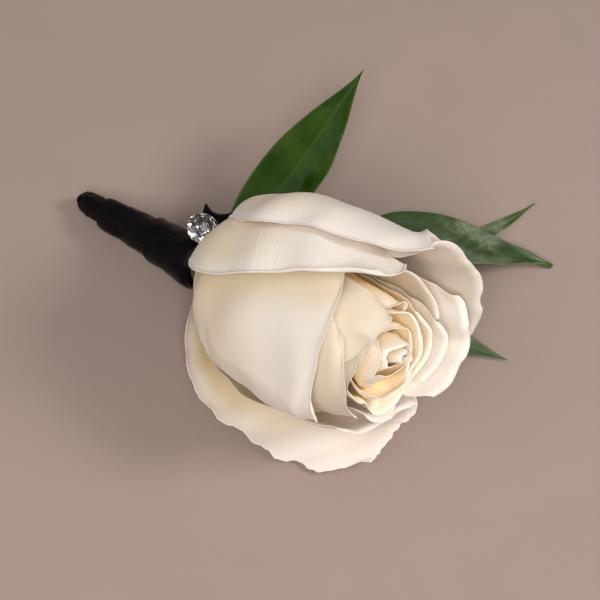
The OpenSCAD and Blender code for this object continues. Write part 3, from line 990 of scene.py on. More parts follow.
    def _rolled(self, grid: Array, roll: Roll) -> Array:
        """Curls one margin of the grid over.

        Args:
            grid: Points of the petal, in metres.
            roll: The curl.

        Returns:
            The grid with the curl.
        """
        distance, way, place = self._towards(grid, roll.margin)
        near = 1 - smoothstep(0, roll.width + 2.2 * abs(roll.reach) + 1.0, distance)
        grid = grid + way * (roll.reach * MM * near * roll.strength(place))[..., None]
        distance, way, place = self._towards(grid, roll.margin)
        normal = grid_normals(grid)
        depth = np.clip(roll.width - distance, 0, roll.width)
        share = depth / roll.width
        angle = math.radians(roll.angle) * roll.strength(place)
        nodes, weights = np.polynomial.legendre.leggauss(10)
        steps = share[..., None] * (nodes + 1) / 2
        bend = angle[..., None] * steps**roll.power
        ahead = roll.width * share / 2 * np.sum(np.cos(bend) * weights, axis=-1)
        aside = roll.width * share / 2 * np.sum(np.sin(bend) * weights, axis=-1)
        shift = way * (ahead - depth)[..., None] + normal * aside[..., None]
        return grid + shift * MM

    def _laid(self, grid: Array) -> Array:
        """Lets the petal lie softly on the surface below where it would sink into it.

        Args:
            grid: Points of the petal, in metres.

        Returns:
            The grid, nowhere under the surface.
        """
        height = (grid[..., 2] + self.neck[2]) / MM
        lying = self.lowest + self.give * np.logaddexp(0.0, (height - self.lowest) / self.give)
        return np.concatenate([grid[..., :2], (lying * MM - self.neck[2])[..., None]], axis=-1)

    def _sheet(self, grid: Array) -> Sheet:
        """Gives the finished grid its thickness and what its material reads.

        Args:
            grid: Points of its middle surface, from the neck, in metres.

        Returns:
            The petal as a sheet in the frame.
        """
        first, second, rim = self._distances(grid)
        edge = np.minimum(np.minimum(first, second), rim)
        middle = self.foot_thickness - self.thinning * self.t[:, None]
        thickness = self.edge_thickness + (middle - self.edge_thickness) * smoothstep(0, self.edge_band, edge)
        across = (first - second) / 2
        spread = spans(grid, 0) / MM - self.fan * np.abs(across) ** 1.25
        span = np.stack([self.columns, self.rows, edge], axis=-1)
        return Sheet(grid + self.neck, MM * thickness, span, np.stack([spread, across], axis=-1))


@dataclass(frozen=True)
class Twig:
    """The twig that carries the leaves, behind and below the bloom.

    Attributes:
        route: Points as shares of the bloom's radius: along x and y from the neck, and height
            above the floor.
        radius: Radius at its start, in metres.
        taper: Share of the radius that is lost towards its end.
        joint: How much thicker it is where a leaf grows from it.
        joint_length: Half of the length of such a joint, as a share of the twig's.
    """

    route: tuple[Row, ...] = (
        (-0.385, 0.100, 0.410),
        (-0.200, 0.185, 0.410),
        (-0.015, 0.270, 0.410),
        (0.300, 0.700, 0.270),
        (0.600, 1.000, 0.130),
        (1.000, 1.250, 0.085),
        (1.400, 1.500, 0.070),
    )
    radius: float = 0.8 * MM
    taper: float = 0.3
    joint: float = 0.16
    joint_length: float = 0.012

    def points(self, bloom: Bloom, neck: Array, u: Array) -> Array:
        """Points of its middle line."""
        path = row_at(self.route, u) * bloom.radius
        return path + np.array([neck[0], neck[1], 0.0])

    def direction(self, bloom: Bloom, neck: Array, u: float) -> Array:
        """Direction of the twig at a place along it."""
        ends = self.points(bloom, neck, np.array([max(u - 0.02, 0.0), min(u + 0.02, 1.0)]))
        return unit(ends[1] - ends[0])

    def build(self, bloom: Bloom, neck: Array, rings: int = 70, sides: int = 14) -> bpy.types.Object:
        """Makes the twig's mesh, thicker at the joints that leaves grow from.

        Args:
            bloom: The bloom, for its radius.
            neck: Place of the neck, in metres.
            rings: Number of stretches along it.
            sides: Number of points round it.

        Returns:
            The twig.
        """
        u = np.linspace(0, 1, rings + 1)
        path = self.points(bloom, neck, u)
        way = unit(np.gradient(path, axis=0))
        level = unit(np.cross(way, np.array([0.0, 0.0, 1.0])))
        above = np.cross(level, way)
        joints = sum(np.exp(-(((u - leaf.at) / self.joint_length) ** 2)) for leaf in LEAVES)
        radius = self.radius * (1 - self.taper * u) * (0.96 + self.joint * joints)
        radius = radius * (1 + 0.03 * SmoothField(5, 0.09)(u))
        angle = (2 * math.pi * np.arange(sides) / sides)[None, :, None]
        ring = np.cos(angle) * level[:, None] + np.sin(angle) * above[:, None]
        points = (path[:, None] + radius[:, None, None] * ring).reshape(-1, 3)
        ends = [path[:1] - way[:1] * self.radius * 0.3, path[-1:] + way[-1:] * self.radius * 0.4]
        return add_mesh("leaf_twig", np.vstack([points, *ends]), tube_faces(rings + 1, sides))


@dataclass(frozen=True)
class Leaf:
    """One pointed leaf on the twig.

    Attributes:
        node: Name of the solid that it stands for.
        at: Place along the twig, from 0 to 1.
        side: 1 on the twig's left side, -1 on its right.
        heading: Direction of its midrib over the floor, in degrees from +X.
        pitch: Rise of its midrib, in degrees.
        roll: Turn about its midrib, in degrees.
        length: Length as a share of the full length.
        width: Width as a share of the full width.
        bow: Rise of its middle, as a share of its length.
        sweep: Sideways bend of its middle, as a share of its length.
        wave: Height of the waves along its margins, in millimetres.
        seed: Seed of its waves.
        full_length: Length of the longest leaf, in metres.
        full_width: Width of the broadest leaf, in metres.
        fold: How far its sides stand up from the midrib, as a share of half its width.
        tip: How much more slender it gets towards its tip.
        foot: Half width at its foot, as a share of that at its belly.
        bias: How near to its foot its belly lies; 1 is the middle.
        twig_gap: Clearance between its foot and the twig, in metres.
        margin_band: Breadth of the waved band along its margins, in millimetres.
        wave_length: Length of those waves, in millimetres.
        groove: Depth of the groove over its midrib, in millimetres.
        groove_width: Half of that groove's breadth, in millimetres.
        midrib: How much thicker it is at the midrib's foot, in millimetres.
        midrib_width: Half of the midrib's breadth, in millimetres.
        lowest: Height above the floor below which it doesn't sink, in metres.
    """

    node: str
    at: float
    side: int
    heading: float
    pitch: float
    roll: float
    length: float
    width: float
    bow: float
    sweep: float
    wave: float = 0.35
    seed: int = 1
    full_length: float = 50 * MM
    full_width: float = 17.5 * MM
    fold: float = 0.16
    tip: float = 0.35
    foot: float = 0.06
    bias: float = 0.7
    twig_gap: float = 0.3 * MM
    margin_band: float = 4.0
    wave_length: float = 17.0
    groove: float = 0.12
    groove_width: float = 0.45
    midrib: float = 0.35
    midrib_width: float = 0.5
    lowest: float = 0.25 * MM

    def grid(self, twig: Twig, bloom: Bloom, neck: Array, a: Array, s: Array) -> Array:
        """Points of its blade.

        Args:
            twig: The twig that it grows from.
            bloom: The bloom, for its radius.
            neck: Place of the neck.
            a: Places from its foot to its tip, 0 to 1.
            s: Places from its left margin, 1, to its right one, -1.

        Returns:
            A grid of points in metres.
        """
        length, half = self.length * self.full_length, self.width * self.full_width / 2
        heading, pitch, roll = (math.radians(v) for v in (self.heading, self.pitch, self.roll))
        level = np.array([math.cos(heading), math.sin(heading), 0.0])
        aside = np.array([-math.sin(heading), math.cos(heading), 0.0])
        along = math.cos(pitch) * level + np.array([0.0, 0.0, math.sin(pitch)])
        lift = np.cross(along, aside)
        right = math.cos(roll) * aside + math.sin(roll) * lift
        crown = np.cross(along, right)
        way = twig.direction(bloom, neck, self.at)
        start = twig.points(bloom, neck, np.array([self.at]))[0]
        beside = self.side * (twig.radius + self.twig_gap + 0.12 * half)
        start = start + beside * np.array([-way[1], way[0], 0.0])
        a, s = a[:, None], s[None, :]
        foot = self.foot * (1 - 0.9 * smoothstep(0.7, 1.0, a))
        slender = 0.9 + self.tip * smoothstep(0.45, 1.0, a)
        wide = half * (foot + (1 - foot) * np.abs(np.sin(math.pi * a**self.bias)) ** slender)
        bend = (4 * a * (1 - a) * length)[..., None] * (self.bow * lift + self.sweep * aside)
        fold = self.fold * (1 - 0.5 * smoothstep(0.6, 1.0, a))
        cross_way = s[..., None] * right + (fold * np.abs(s) ** 1.4)[..., None] * crown
        return start + (a * length)[..., None] * along + bend + wide[..., None] * cross_way

    def build(self, twig: Twig, bloom: Bloom, neck: Array) -> bpy.types.Object:
        """Makes the leaf's mesh, with a grooved midrib and waved margins.

        Args:
            twig: The twig that it grows from.
            bloom: The bloom, for its radius.
            neck: Place of the neck, in metres.

        Returns:
            The leaf.
        """
        a = np.linspace(0, 1, 91)
        s = np.linspace(1, -1, 41)
        grid = self.grid(twig, bloom, neck, a, s)
        normal = grid_normals(grid)
        columns, rows = np.meshgrid(s, a)
        along = spans(grid, 0) / MM
        half = spans(grid, 1)[:, -1:] / 2 / MM
        across = columns * half
        edge = half - np.abs(across)
        near = 1 - smoothstep(0.0, self.margin_band, edge)
        left, right = (SmoothField(self.seed + i, self.wave_length)(along) for i in (0, 9))
        wave = self.wave * near * np.where(columns > 0, left, right) * smoothstep(0.05, 0.3, rows)
        groove = self.groove * np.exp(-((across / self.groove_width) ** 2))
        groove = groove * (1 - smoothstep(0.75, 1.0, rows))
        face = 0.12 * SmoothField(self.seed + 3, 12.0, 2)(across, along) * (1 - near)
        grid = grid + normal * ((wave - groove + face) * MM)[..., None]
        grid[..., 2] = np.maximum(grid[..., 2], self.lowest)
        midrib = self.midrib * np.exp(-((across / self.midrib_width) ** 2)) * (1 - rows)
        thickness = MM * (0.18 + 0.22 * smoothstep(0, 2.0, edge) + midrib)
        span = np.stack([columns, rows, edge], axis=-1)
        vein = np.stack([across, along], axis=-1)
        return Sheet(grid, thickness, span, vein).build(self.node + "_blade")


# Node, place and side on the twig, heading, pitch, roll, length, width, bow, sweep
LEAVES = (
    Leaf("leaf_1", 0.38, 1, 92.0, 18.0, 17, 0.98, 0.76, 0.02, -0.02, seed=61),
    Leaf("leaf_2", 0.70, 1, 37.4, -2.0, -14, 1.00, 1.00, 0.065, 0.04, seed=62),
    Leaf("leaf_3", 0.94, 1, 66.3, -1.5, -9, 0.76, 0.29, 0.00, -0.06, wave=0.1, seed=63),
    Leaf("leaf_4", 0.80, -1, 8.3, -2.0, 9, 0.79, 0.49, 0.03, -0.06, wave=0.15, seed=64),
)


@dataclass(frozen=True)
class Turn:
    """One turn of the ribbon round the stem.

    Attributes:
        start: Where its edge lies, as a share of the stem's length from the tip.
        end: Where the next turn covers it.
        start_radius: Its radius at its edge, in metres.
        end_radius: Its radius where the next turn covers it, in metres.
        slant: How much its edge leans, as a share of its radius.
        lean: Direction of that lean round the stem, in degrees.
    """

    start: float
    end: float
    start_radius: float
    end_radius: float
    slant: float
    lean: float


# Seed, wavelength, pace round and along the stem, and height in millimetres of the ribbon's
# soft swells, of the creases drawn along it and of the tucks bunched up at the tip
TUCKS = (
    (71, 6.0, 3.4, 0.8, 0.14),
    (72, 2.6, 3.4, 0.5, 0.05),
    (73, 2.4, 2.4, 1.1, 0.10),
)


@dataclass(frozen=True)
class WrappedStem:
    """Black satin ribbon wound round the stem in overlapping turns, and closed over its tip.

    Attributes:
        length: Length from the neck to the tip, in metres.
        tip_radius: Radius of the stem's tip, in metres.
        neck_radius: Radius at the neck, in metres.
        step: Breadth of the rounded edge of a turn, in metres.
        bend: Sideways bend away from the bloom's axis, in degrees.
        plump: How far a turn swells out between its edges, in metres.
        tip_round: Radius of the tip's rounding, as a share of its radius.
        groove: Depth of the groove in front of a turn's edge, in metres.
        groove_width: Half breadth of that groove, in metres.
        overlap: How far the last turn runs on past the neck, in metres.
        neck_hollow: How far it draws in there, in metres.
        neck_band: How far before the neck it begins to draw in, in metres.
        folds: Number of folds that the tip is gathered into.
        fold_depth: Depth of those folds, in metres.
        fold_tilt: How much further the ribbon stands out at one side of the tip, in metres.
        dimple: Depth of the hollow in the tip's middle, in metres.
        weave_radius: Middle radius, at which the threads are measured, in millimetres.
        weave_slant: How much the threads lean, as a share of that radius.
        weave_turn: Direction of that lean round the stem, in radians.
        turns: The turns, from the tip to the neck.
    """

    length: float = 38 * MM
    tip_radius: float = 2.5 * MM
    neck_radius: float = 5.2 * MM
    step: float = 0.42 * MM
    bend: float = 2.2
    plump: float = 0.14 * MM
    tip_round: float = 0.4
    groove: float = 0.12 * MM
    groove_width: float = 0.35 * MM
    overlap: float = 0.5 * MM
    neck_hollow: float = 0.55 * MM
    neck_band: float = 1.3 * MM
    folds: int = 5
    fold_depth: float = 0.22 * MM
    fold_tilt: float = 0.20 * MM
    dimple: float = 0.55 * MM
    weave_radius: float = 3.8
    weave_slant: float = 0.22
    weave_turn: float = 1.7
    turns: tuple[Turn, ...] = (
        Turn(0.000, 0.197, 2.35 * MM, 2.62 * MM, 0.0, 0.0),
        Turn(0.197, 0.376, 3.38 * MM, 3.50 * MM, 0.20, 100.0),
        Turn(0.376, 0.620, 3.68 * MM, 3.92 * MM, 0.34, 80.0),
        Turn(0.620, 1.000, 4.92 * MM, 5.20 * MM, 0.22, 110.0),
    )

    def axis(self, neck: Array) -> Array:
        """Direction from the neck to the stem's tip.

        Args:
            neck: Place of the neck, in metres.

        Returns:
            A vector of length 1, which sets the tip on the floor.
        """
        edge = self.tip_round * self.tip_radius
        reach, drop = self.length - edge, self.tip_radius - edge
        pitch = math.asin((neck[2] - edge) / math.hypot(reach, drop)) - math.atan2(drop, reach)
        bend = math.radians(self.bend)
        level = np.array([-math.cos(bend), math.sin(bend), 0.0])
        return math.cos(pitch) * level - np.array([0.0, 0.0, math.sin(pitch)])

    def radius(self, z: Array, angle: Array) -> Array:
        """Radius of the wound ribbon.

        Args:
            z: Distances from the tip, in metres.
            angle: Directions round the stem, in radians from its top.

        Returns:
            Radii in metres.
        """
        result = None
        for turn in self.turns:
            lean = turn.slant * turn.start_radius * np.cos(angle - math.radians(turn.lean))
            past = z - turn.start * self.length - lean
            share = np.clip(past / ((turn.end - turn.start) * self.length), 0, 1)
            body = turn.start_radius + (turn.end_radius - turn.start_radius) * smoothstep(0, 1, share)
            body = body + self.plump * np.sin(math.pi * share)
            if result is None:
                result = body
                continue
            rounded = np.sqrt(np.maximum(1 - (1 - np.clip(past / self.step, 0, 1)) ** 2, 0))
            grooved = result - self.groove * np.exp(-((past / self.groove_width) ** 2))
            result = np.where(past < 0, grooved, result + (body - result) * rounded)
        return result

    def build(self, neck: Array, rings: int = 300, sides: int = 128) -> bpy.types.Object:
        """Makes the wound ribbon's mesh, closed over the stem's tip.

        Args:
            neck: Place of the neck, in metres.
            rings: Number of stretches along it.
            sides: Number of points round it.

        Returns:
            The wound ribbon.
        """
        way = self.axis(neck)
        up = unit(np.array([0.0, 0.0, 1.0]) - way[2] * way)
        angle = 2 * math.pi * np.arange(sides) / sides
        spokes = np.cos(angle)[:, None] * up + np.sin(angle)[:, None] * np.cross(-way, up)
        past_neck = self.length + self.overlap
        z = np.linspace(0, past_neck, rings + 1)[:, None]
        radius = self.radius(z, angle[None, :]) + self._tucks(z / MM, angle[None, :])
        edge = self.tip_round * self.tip_radius
        closing = np.clip(1 - z / edge, 0, 1)
        radius = radius - edge * (1 - np.sqrt(np.maximum(1 - closing**2, 0)))
        radius = radius - self.neck_hollow * smoothstep(self.length - self.neck_band, past_neck, z)
        tip = neck + way * self.length
        body = tip - z[..., None] * way + radius[..., None] * spokes
        gather = self._cap(spokes * radius[0][:, None], way, angle, True)
        end = self._cap(spokes * radius[-1][:, None], way, angle, False)
        circles = np.concatenate([(tip + gather)[::-1], body, tip - way * z[-1] + end])
        along = np.concatenate([np.zeros(len(gather)), z.ravel(), np.full(len(end), z.max())])
        return self._join(circles, along, angle)

    @staticmethod
    def _tucks(depth: Array, angle: Array) -> Array:
        """Uneven swells and small tucks of the ribbon.

        Args:
            depth: Distances from the tip, in millimetres.
            angle: Directions round the stem, in radians from its top.

        Returns:
            Heights in metres.
        """
        heights = []
        for seed, wavelength, pace, rate, height in TUCKS:
            waves = SmoothField(seed, wavelength, 3)(pace * np.cos(angle), pace * np.sin(angle), rate * depth)
            heights.append(waves * height)
        soft, drawn, bunched = heights
        return MM * (soft + drawn + bunched * (1 - smoothstep(2.5, 6.0, depth)))

    def _cap(self, edge: Array, way: Array, angle: Array, gathered: bool) -> Array:
        """Rings that close an end, drawn into folds where the ribbon is gathered.

        Args:
            edge: Points of the end's edge, from its middle, in metres.
            way: Direction from the neck to the tip.
            angle: Directions of those points, in radians.
            gathered: Whether the ribbon is gathered there.

        Returns:
            Rings of points from the end's middle, the outermost first.
        """
        rings = []
        for share in (0.9, 0.75, 0.55, 0.35, 0.18, 0.06):
            fold = np.zeros(len(angle))
            if gathered:
                fold = self.fold_depth * np.sin(self.folds * angle + 3.0 * share) * math.sin(math.pi * share)
                fold = fold + self.fold_tilt * np.cos(angle - 0.8) * share - self.dimple * (1 - share) ** 2
            rings.append(edge * share + way * fold[:, None])
        return np.stack(rings)

    def _join(self, rings: Array, along: Array, angle: Array) -> bpy.types.Object:
        """Joins rings of points into one closed mesh and marks how its threads run.

        Args:
            rings: Rings of points, from the tip's middle to the neck's.
            along: Distance of each ring from the tip, in metres.
            angle: Directions of a ring's points, in radians.

        Returns:
            The wound ribbon.
        """
        ends = np.vstack([rings[0].mean(axis=0), rings[-1].mean(axis=0)])
        faces = [face[:1] + face[:0:-1] for face in tube_faces(*rings.shape[:2])]
        piece = add_mesh("satin_wrap", np.vstack([rings.reshape(-1, 3), ends]), faces)
        around, depth = np.meshgrid(angle, along / MM)
        across = depth + self.weave_slant * self.weave_radius * np.cos(around - self.weave_turn)
        weave = np.stack([self.weave_radius * around, across, 0 * across], axis=-1).reshape(-1, 3)
        add_attribute(piece, "weave", np.vstack([weave, weave[:1], weave[-1:]]))
        return piece


@dataclass(frozen=True)
class RibbonTail:
    """The ribbon's cut end, behind the stone, with a hollow between its two points.

    Attributes:
        up: Height of its foot above the neck, as a share of the bloom's height.
        turn: Turn of its foot round the axis, in degrees.
        heading: Its direction over the floor, in degrees from +X.
        width: Its width, in metres.
        length: Its length, in metres.
        thickness: Its thickness, in metres.
        cad_thickness: Thickness of its solid, in metres.
        gap: Clearance between its foot and the wound ribbon, in metres.
        hollow: Depth of the hollow in its cut edge, as a share of its length.
        narrow: Its width at the foot, as a share of its width.
        arch: How far it arches up, as a share of its length.
        cup: How far its sides hang down, as a share of its width.
        fray: Unevenness of its cut edge, as a share of its length.
    """

    up: float = -0.045
    turn: float = -62.0
    heading: float = 112.0
    width: float = 6.6 * MM
    length: float = 7.5 * MM
    thickness: float = 0.3 * MM
    cad_thickness: float = 0.4 * MM
    gap: float = 0.3 * MM
    hollow: float = 0.3
    narrow: float = 0.75
    arch: float = 0.12
    cup: float = 0.1
    fray: float = 0.012

    def build(self, bloom: Bloom, stem: WrappedStem, neck: Array) -> bpy.types.Object:
        """Makes the tail's mesh.

        Args:
            bloom: The bloom, for the axis that it is placed round.
            stem: The wound ribbon that it comes from.
            neck: Place of the neck.

        Returns:
            The tail, with the attribute weave in millimetres.
        """
        out = stem.neck_radius + self.gap + 2 * self.cad_thickness
        foot = neck + bloom.local(np.array(self.up * bloom.height), np.array(out), np.array(self.turn))
        heading = math.radians(self.heading)
        way = np.array([math.cos(heading), math.sin(heading), 0.0])
        side = np.array([-way[1], way[0], 0.0])
        s, a = np.meshgrid(np.linspace(1, -1, 37), np.linspace(0, 1, 31))
        cut = 1 - self.hollow * (1 - s * s) * a
        fray = self.fray * SmoothField(81, 0.12)(s) * smoothstep(0.85, 1.0, a)
        across = s * self.width / 2 * (self.narrow + (1 - self.narrow) * a)
        lift = self.arch * self.length * np.sin(np.radians(150 * a)) - self.cup * self.width * s * s
        grid = foot + (a * (cut + fray) * self.length)[..., None] * way
        grid = grid + across[..., None] * side + lift[..., None] * np.array([0.0, 0.0, 1.0])
        vein = np.stack([across, a * self.length], axis=-1) / MM
        span = np.stack([s, a, 0 * s], axis=-1)
        piece = Sheet(grid, np.full(s.shape, self.thickness), span, vein).build("satin_tail")
        weave = np.concatenate([vein[..., ::-1], 0 * vein[..., :1]], axis=-1).reshape(-1, 3)
        ring = Sheet.margin(*s.shape)
        add_attribute(piece, "weave", np.vstack([weave, weave, weave[ring]]))
        return piece


@dataclass(frozen=True)
class CutStone:
    """The clear stone: table, star and kite facets, girdle, pavilion and a small flat culet.

    Attributes:
        radius: Radius of its girdle, in metres; the shares below are of this radius.
        up: Height of its middle above the neck, as a share of the bloom's height.
        out: Distance of its middle from the wound ribbon.
        turn: Turn of its place round the axis, in degrees.
        lean: How far it leans over from the bloom's axis, in degrees.
        crown: Height of the crown above the girdle.
        girdle: Height of the girdle.
        pavilion: Depth of the pavilion.
        table: Radius of the table.
        star: Radius at the lower points of the star facets.
        lower: Radius at the inner points of the lower facets.
        culet: Radius of the culet.
    """

    radius: float = 3.4 * MM
    up: float = -0.024
    out: float = 0.80
    turn: float = -31.0
    lean: float = 55.0
    crown: float = 0.30
    girdle: float = 0.09
    pavilion: float = 0.62
    table: float = 0.58
    star: float = 0.84
    lower: float = 0.54
    culet: float = 0.10

    def build(self, bloom: Bloom, stem: WrappedStem, neck: Array) -> bpy.types.Object:
        """Makes the stone's mesh with flat facets.

        Args:
            bloom: The bloom, for the axis that it is placed round.
            stem: The wound ribbon that it stands beside.
            neck: Place of the neck.

        Returns:
            The stone.
        """
        eighth = math.pi / 8
        half = self.girdle / 2
        slope = (1 - self.star * math.cos(eighth)) / (1 - self.table)
        drop = (1 - self.lower * math.cos(eighth)) / (1 - self.culet)
        # Radius, turn in eighths of a half turn, and height of each ring of eight points
        levels = (
            (self.table, 1, half + self.crown),
            (self.star, 0, half + self.crown * slope),
            (1.0, 1, half),
            (1.0, 0, half),
            (1.0, 1, -half),
            (1.0, 0, -half),
            (self.lower, 0, -half - (self.pavilion - half) * drop),
            (self.culet, 1, -self.pavilion),
        )
        rings = []
        for reach, odd, height in levels:
            angle = eighth * (2 * np.arange(8) + odd)
            rings.append(np.column_stack([reach * np.cos(angle), reach * np.sin(angle), np.full(8, height)]))
        points = np.vstack(rings) * self.radius
        return add_mesh("clear_stone", self._placed(points, bloom, stem, neck), self._facets(), smooth=False)

    @staticmethod
    def _facets() -> list[list[int]]:
        """Facets of the stone; each of its rings has eight points.

        Returns:
            Point numbers of each facet.
        """
        table, star, high, high_mid, low, low_mid, lower, culet = (8 * k for k in range(8))
        faces: list[list[int]] = [[table + k for k in range(8)], [culet + 7 - k for k in range(8)]]
        for k in range(8):
            n, b = (k + 1) % 8, (k - 1) % 8
            faces.append([table + b, star + k, table + k])
            faces.append([table + k, star + k, high + k, star + n])
            faces.append([star + k, high_mid + k, high + k])
            faces.append([star + n, high + k, high_mid + n])
            faces.append([high_mid + k, low_mid + k, low + k, high + k])
            faces.append([high + k, low + k, low_mid + n, high_mid + n])
            faces.append([low_mid + k, lower + k, low + k])
            faces.append([low + k, lower + n, low_mid + n])
            faces.append([low + k, lower + k, culet + k, lower + n])
            faces.append([lower + k, culet + b, culet + k])
        return faces

    def _placed(self, points: Array, bloom: Bloom, stem: WrappedStem, neck: Array) -> Array:
        """Leans the stone back and sets it beside the stem.

        Args:
            points: Points round its own middle, in metres.
            bloom: The bloom, for the axis that it is placed round.
            stem: The wound ribbon.
            neck: Place of the neck, in metres.

        Returns:
            The points in the frame.
        """
        out = stem.neck_radius + self.out * self.radius
        place = neck + bloom.local(np.array(self.up * bloom.height), np.array(out), np.array(self.turn))
        lean = math.radians(90 - bloom.slope - self.lean)
        across = np.array([math.cos(lean), 0.0, -math.sin(lean)])
        normal = np.array([math.sin(lean), 0.0, math.cos(lean)])
        level = np.array([0.0, 1.0, 0.0])
        return place + points[:, :1] * across + points[:, 1:2] * level + points[:, 2:] * normal


class NodeGraph:
    """Small helper that adds nodes to a material or group and links them."""

    def __init__(self, tree: bpy.types.NodeTree) -> None:
        """Takes the tree that the nodes go into."""
        self.tree = tree

    def add(self, kind: str, **settings: object) -> bpy.types.Node:
        """Adds a node.

        Args:
            kind: Blender's type name of the node.
            **settings: Properties of the node to set.

        Returns:
            The new node.
        """
        node = self.tree.nodes.new(kind)
        place = len(self.tree.nodes)
        node.location = (-220 * (place % 9), -200 * (place // 9))
        for name, value in settings.items():
            setattr(node, name, value)
        return node

    def feed(self, socket: Socket, value: object) -> None:
        """Links an output to a socket, or sets the socket's own value.

        Args:
            socket: The socket.
            value: An output, a number, a vector or a colour.
        """
        if isinstance(value, Socket):
            self.tree.links.new(value, socket)
        elif socket.type == "RGBA":
            socket.default_value = (*value, 1.0)
        else:
            socket.default_value = value

    def chain(self, kind: str, values: Sequence[object], **settings: object) -> Socket:
        """Adds a node and feeds its first inputs in order.

        Args:
            kind: Blender's type name of the node.
            values: Outputs or numbers for its inputs.
            **settings: Properties of the node to set.

        Returns:
            Its first output.
        """
        node = self.add(kind, **settings)
        for socket, value in zip(node.inputs, values):
            self.feed(socket, value)
        return node.outputs[0]

    def math(self, operation: str, *values: object) -> Socket:
        """Result of a math node on sockets or numbers."""
        return self.chain("ShaderNodeMath", values, operation=operation)

    def times(self, *values: object) -> Socket:
        """Product of two sockets or numbers."""
        return self.math("MULTIPLY", *values)

    def ramp(self, value: object, low: float, high: float, start: object = 0.0, end: object = 1.0) -> Socket:
        """Maps a value smoothly from low and high to start and end, and clamps it."""
        values = (value, low, high, start, end)
        return self.chain("ShaderNodeMapRange", values, interpolation_type="SMOOTHSTEP")

    def mix(self, share: object, first: object, second: object) -> Socket:
        """Mixes two colours by a share.

        Args:
            share: Share of the second colour, from 0 to 1.
            first: First colour.
            second: Second colour.

        Returns:
            The mixed colour.
        """
        node = self.add("ShaderNodeMix", data_type="RGBA")
        for socket, value in zip((node.inputs[0], node.inputs[6], node.inputs[7]), (share, first, second)):
            self.feed(socket, value)
        return node.outputs[2]

    def combine(self, x: object, y: object) -> Socket:
        """A vector from two numbers."""
        return self.chain("ShaderNodeCombineXYZ", (x, y))

    def attribute(self, name: str) -> list[Socket]:
        """Reads a mesh attribute.

        Args:
            name: Its name.

        Returns:
            Its three numbers.
        """
        source = self.add("ShaderNodeAttribute", attribute_name=name)
        parts = self.add("ShaderNodeSeparateXYZ")
        self.feed(parts.inputs[0], source.outputs["Vector"])
        return list(parts.outputs)

    def noise(self, vector: Socket, scale: object, detail: float = 2.0, rough: float = 0.5) -> Socket:
        """Adds a noise texture.

        Args:
            vector: Where it is read.
            scale: How fine it is.
            detail: How many finer layers it has.
            rough: How strong those are.

        Returns:
            Its value, from 0 to 1.
        """
        node = self.add("ShaderNodeTexNoise")
        for label, value in (("Vector", vector), ("Scale", scale), ("Detail", detail), ("Roughness", rough)):
            self.feed(node.inputs[label], value)
        return node.outputs["Fac"]


class SharedEffects:
    """Node groups that several materials use, each made once."""

    def __init__(self) -> None:
        """Makes the groups."""
        self.veins = self._veins()
        self.speckle = self._speckle()

    @staticmethod
    def _group(name: str, inputs: dict[str, float], outputs: Sequence[str]) -> NodeGraph:
        """Makes a group with number sockets, and nothing in it yet.

        Args:
            name: Name of the group.
            inputs: Names of its inputs, with their usual values.
            outputs: Names of its outputs.

        Returns:
            The group's graph.
        """
        tree = bpy.data.node_groups.new(name, "ShaderNodeTree")
        for label, default in inputs.items():
            socket = tree.interface.new_socket(name=label, in_out="INPUT", socket_type="NodeSocketFloat")
            socket.default_value = default
        for label in outputs:
            tree.interface.new_socket(name=label, in_out="OUTPUT", socket_type="NodeSocketFloat")
        return NodeGraph(tree)

    def _veins(self) -> bpy.types.NodeTree:
        """Fine lines that run along one coordinate and wander a little.

        Returns:
            The group: inputs Across and Along in mm, Spacing and Stretch; output Lines, 0 to 1.
        """
        graph = self._group("veins", {"Across": 0, "Along": 0, "Spacing": 1.0, "Stretch": 0.05}, ["Lines"])
        source, sink = graph.add("NodeGroupInput"), graph.add("NodeGroupOutput")
        across, along, spacing, stretch = source.outputs[:4]
        wander = graph.noise(graph.combine(across, graph.times(along, 0.3)), 0.35)
        shifted = graph.math("ADD", across, graph.times(wander, 0.8))
        place = graph.combine(graph.math("DIVIDE", shifted, spacing), graph.times(along, stretch))
        graph.feed(sink.inputs["Lines"], graph.ramp(graph.noise(place, 1.0, 3.0, 0.6), 0.32, 0.68))
        return graph.tree

    def _speckle(self) -> bpy.types.NodeTree:
        """Soft uneven patches with fine grain, in the object's own space.

        Returns:
            The group: inputs Patch and Grain sizes in mm; outputs Patches and Grains, 0 to 1.
        """
        graph = self._group("speckle", {"Patch": 8.0, "Grain": 0.4}, ["Patches", "Grains"])
        source, sink = graph.add("NodeGroupInput"), graph.add("NodeGroupOutput")
        place = graph.add("ShaderNodeTexCoord").outputs["Object"]
        for size, output in (("Patch", "Patches"), ("Grain", "Grains")):
            scale = graph.math("DIVIDE", 1 / MM, source.outputs[size])
            graph.feed(sink.inputs[output], graph.ramp(graph.noise(place, scale, 3.0), 0.3, 0.7))
        return graph.tree


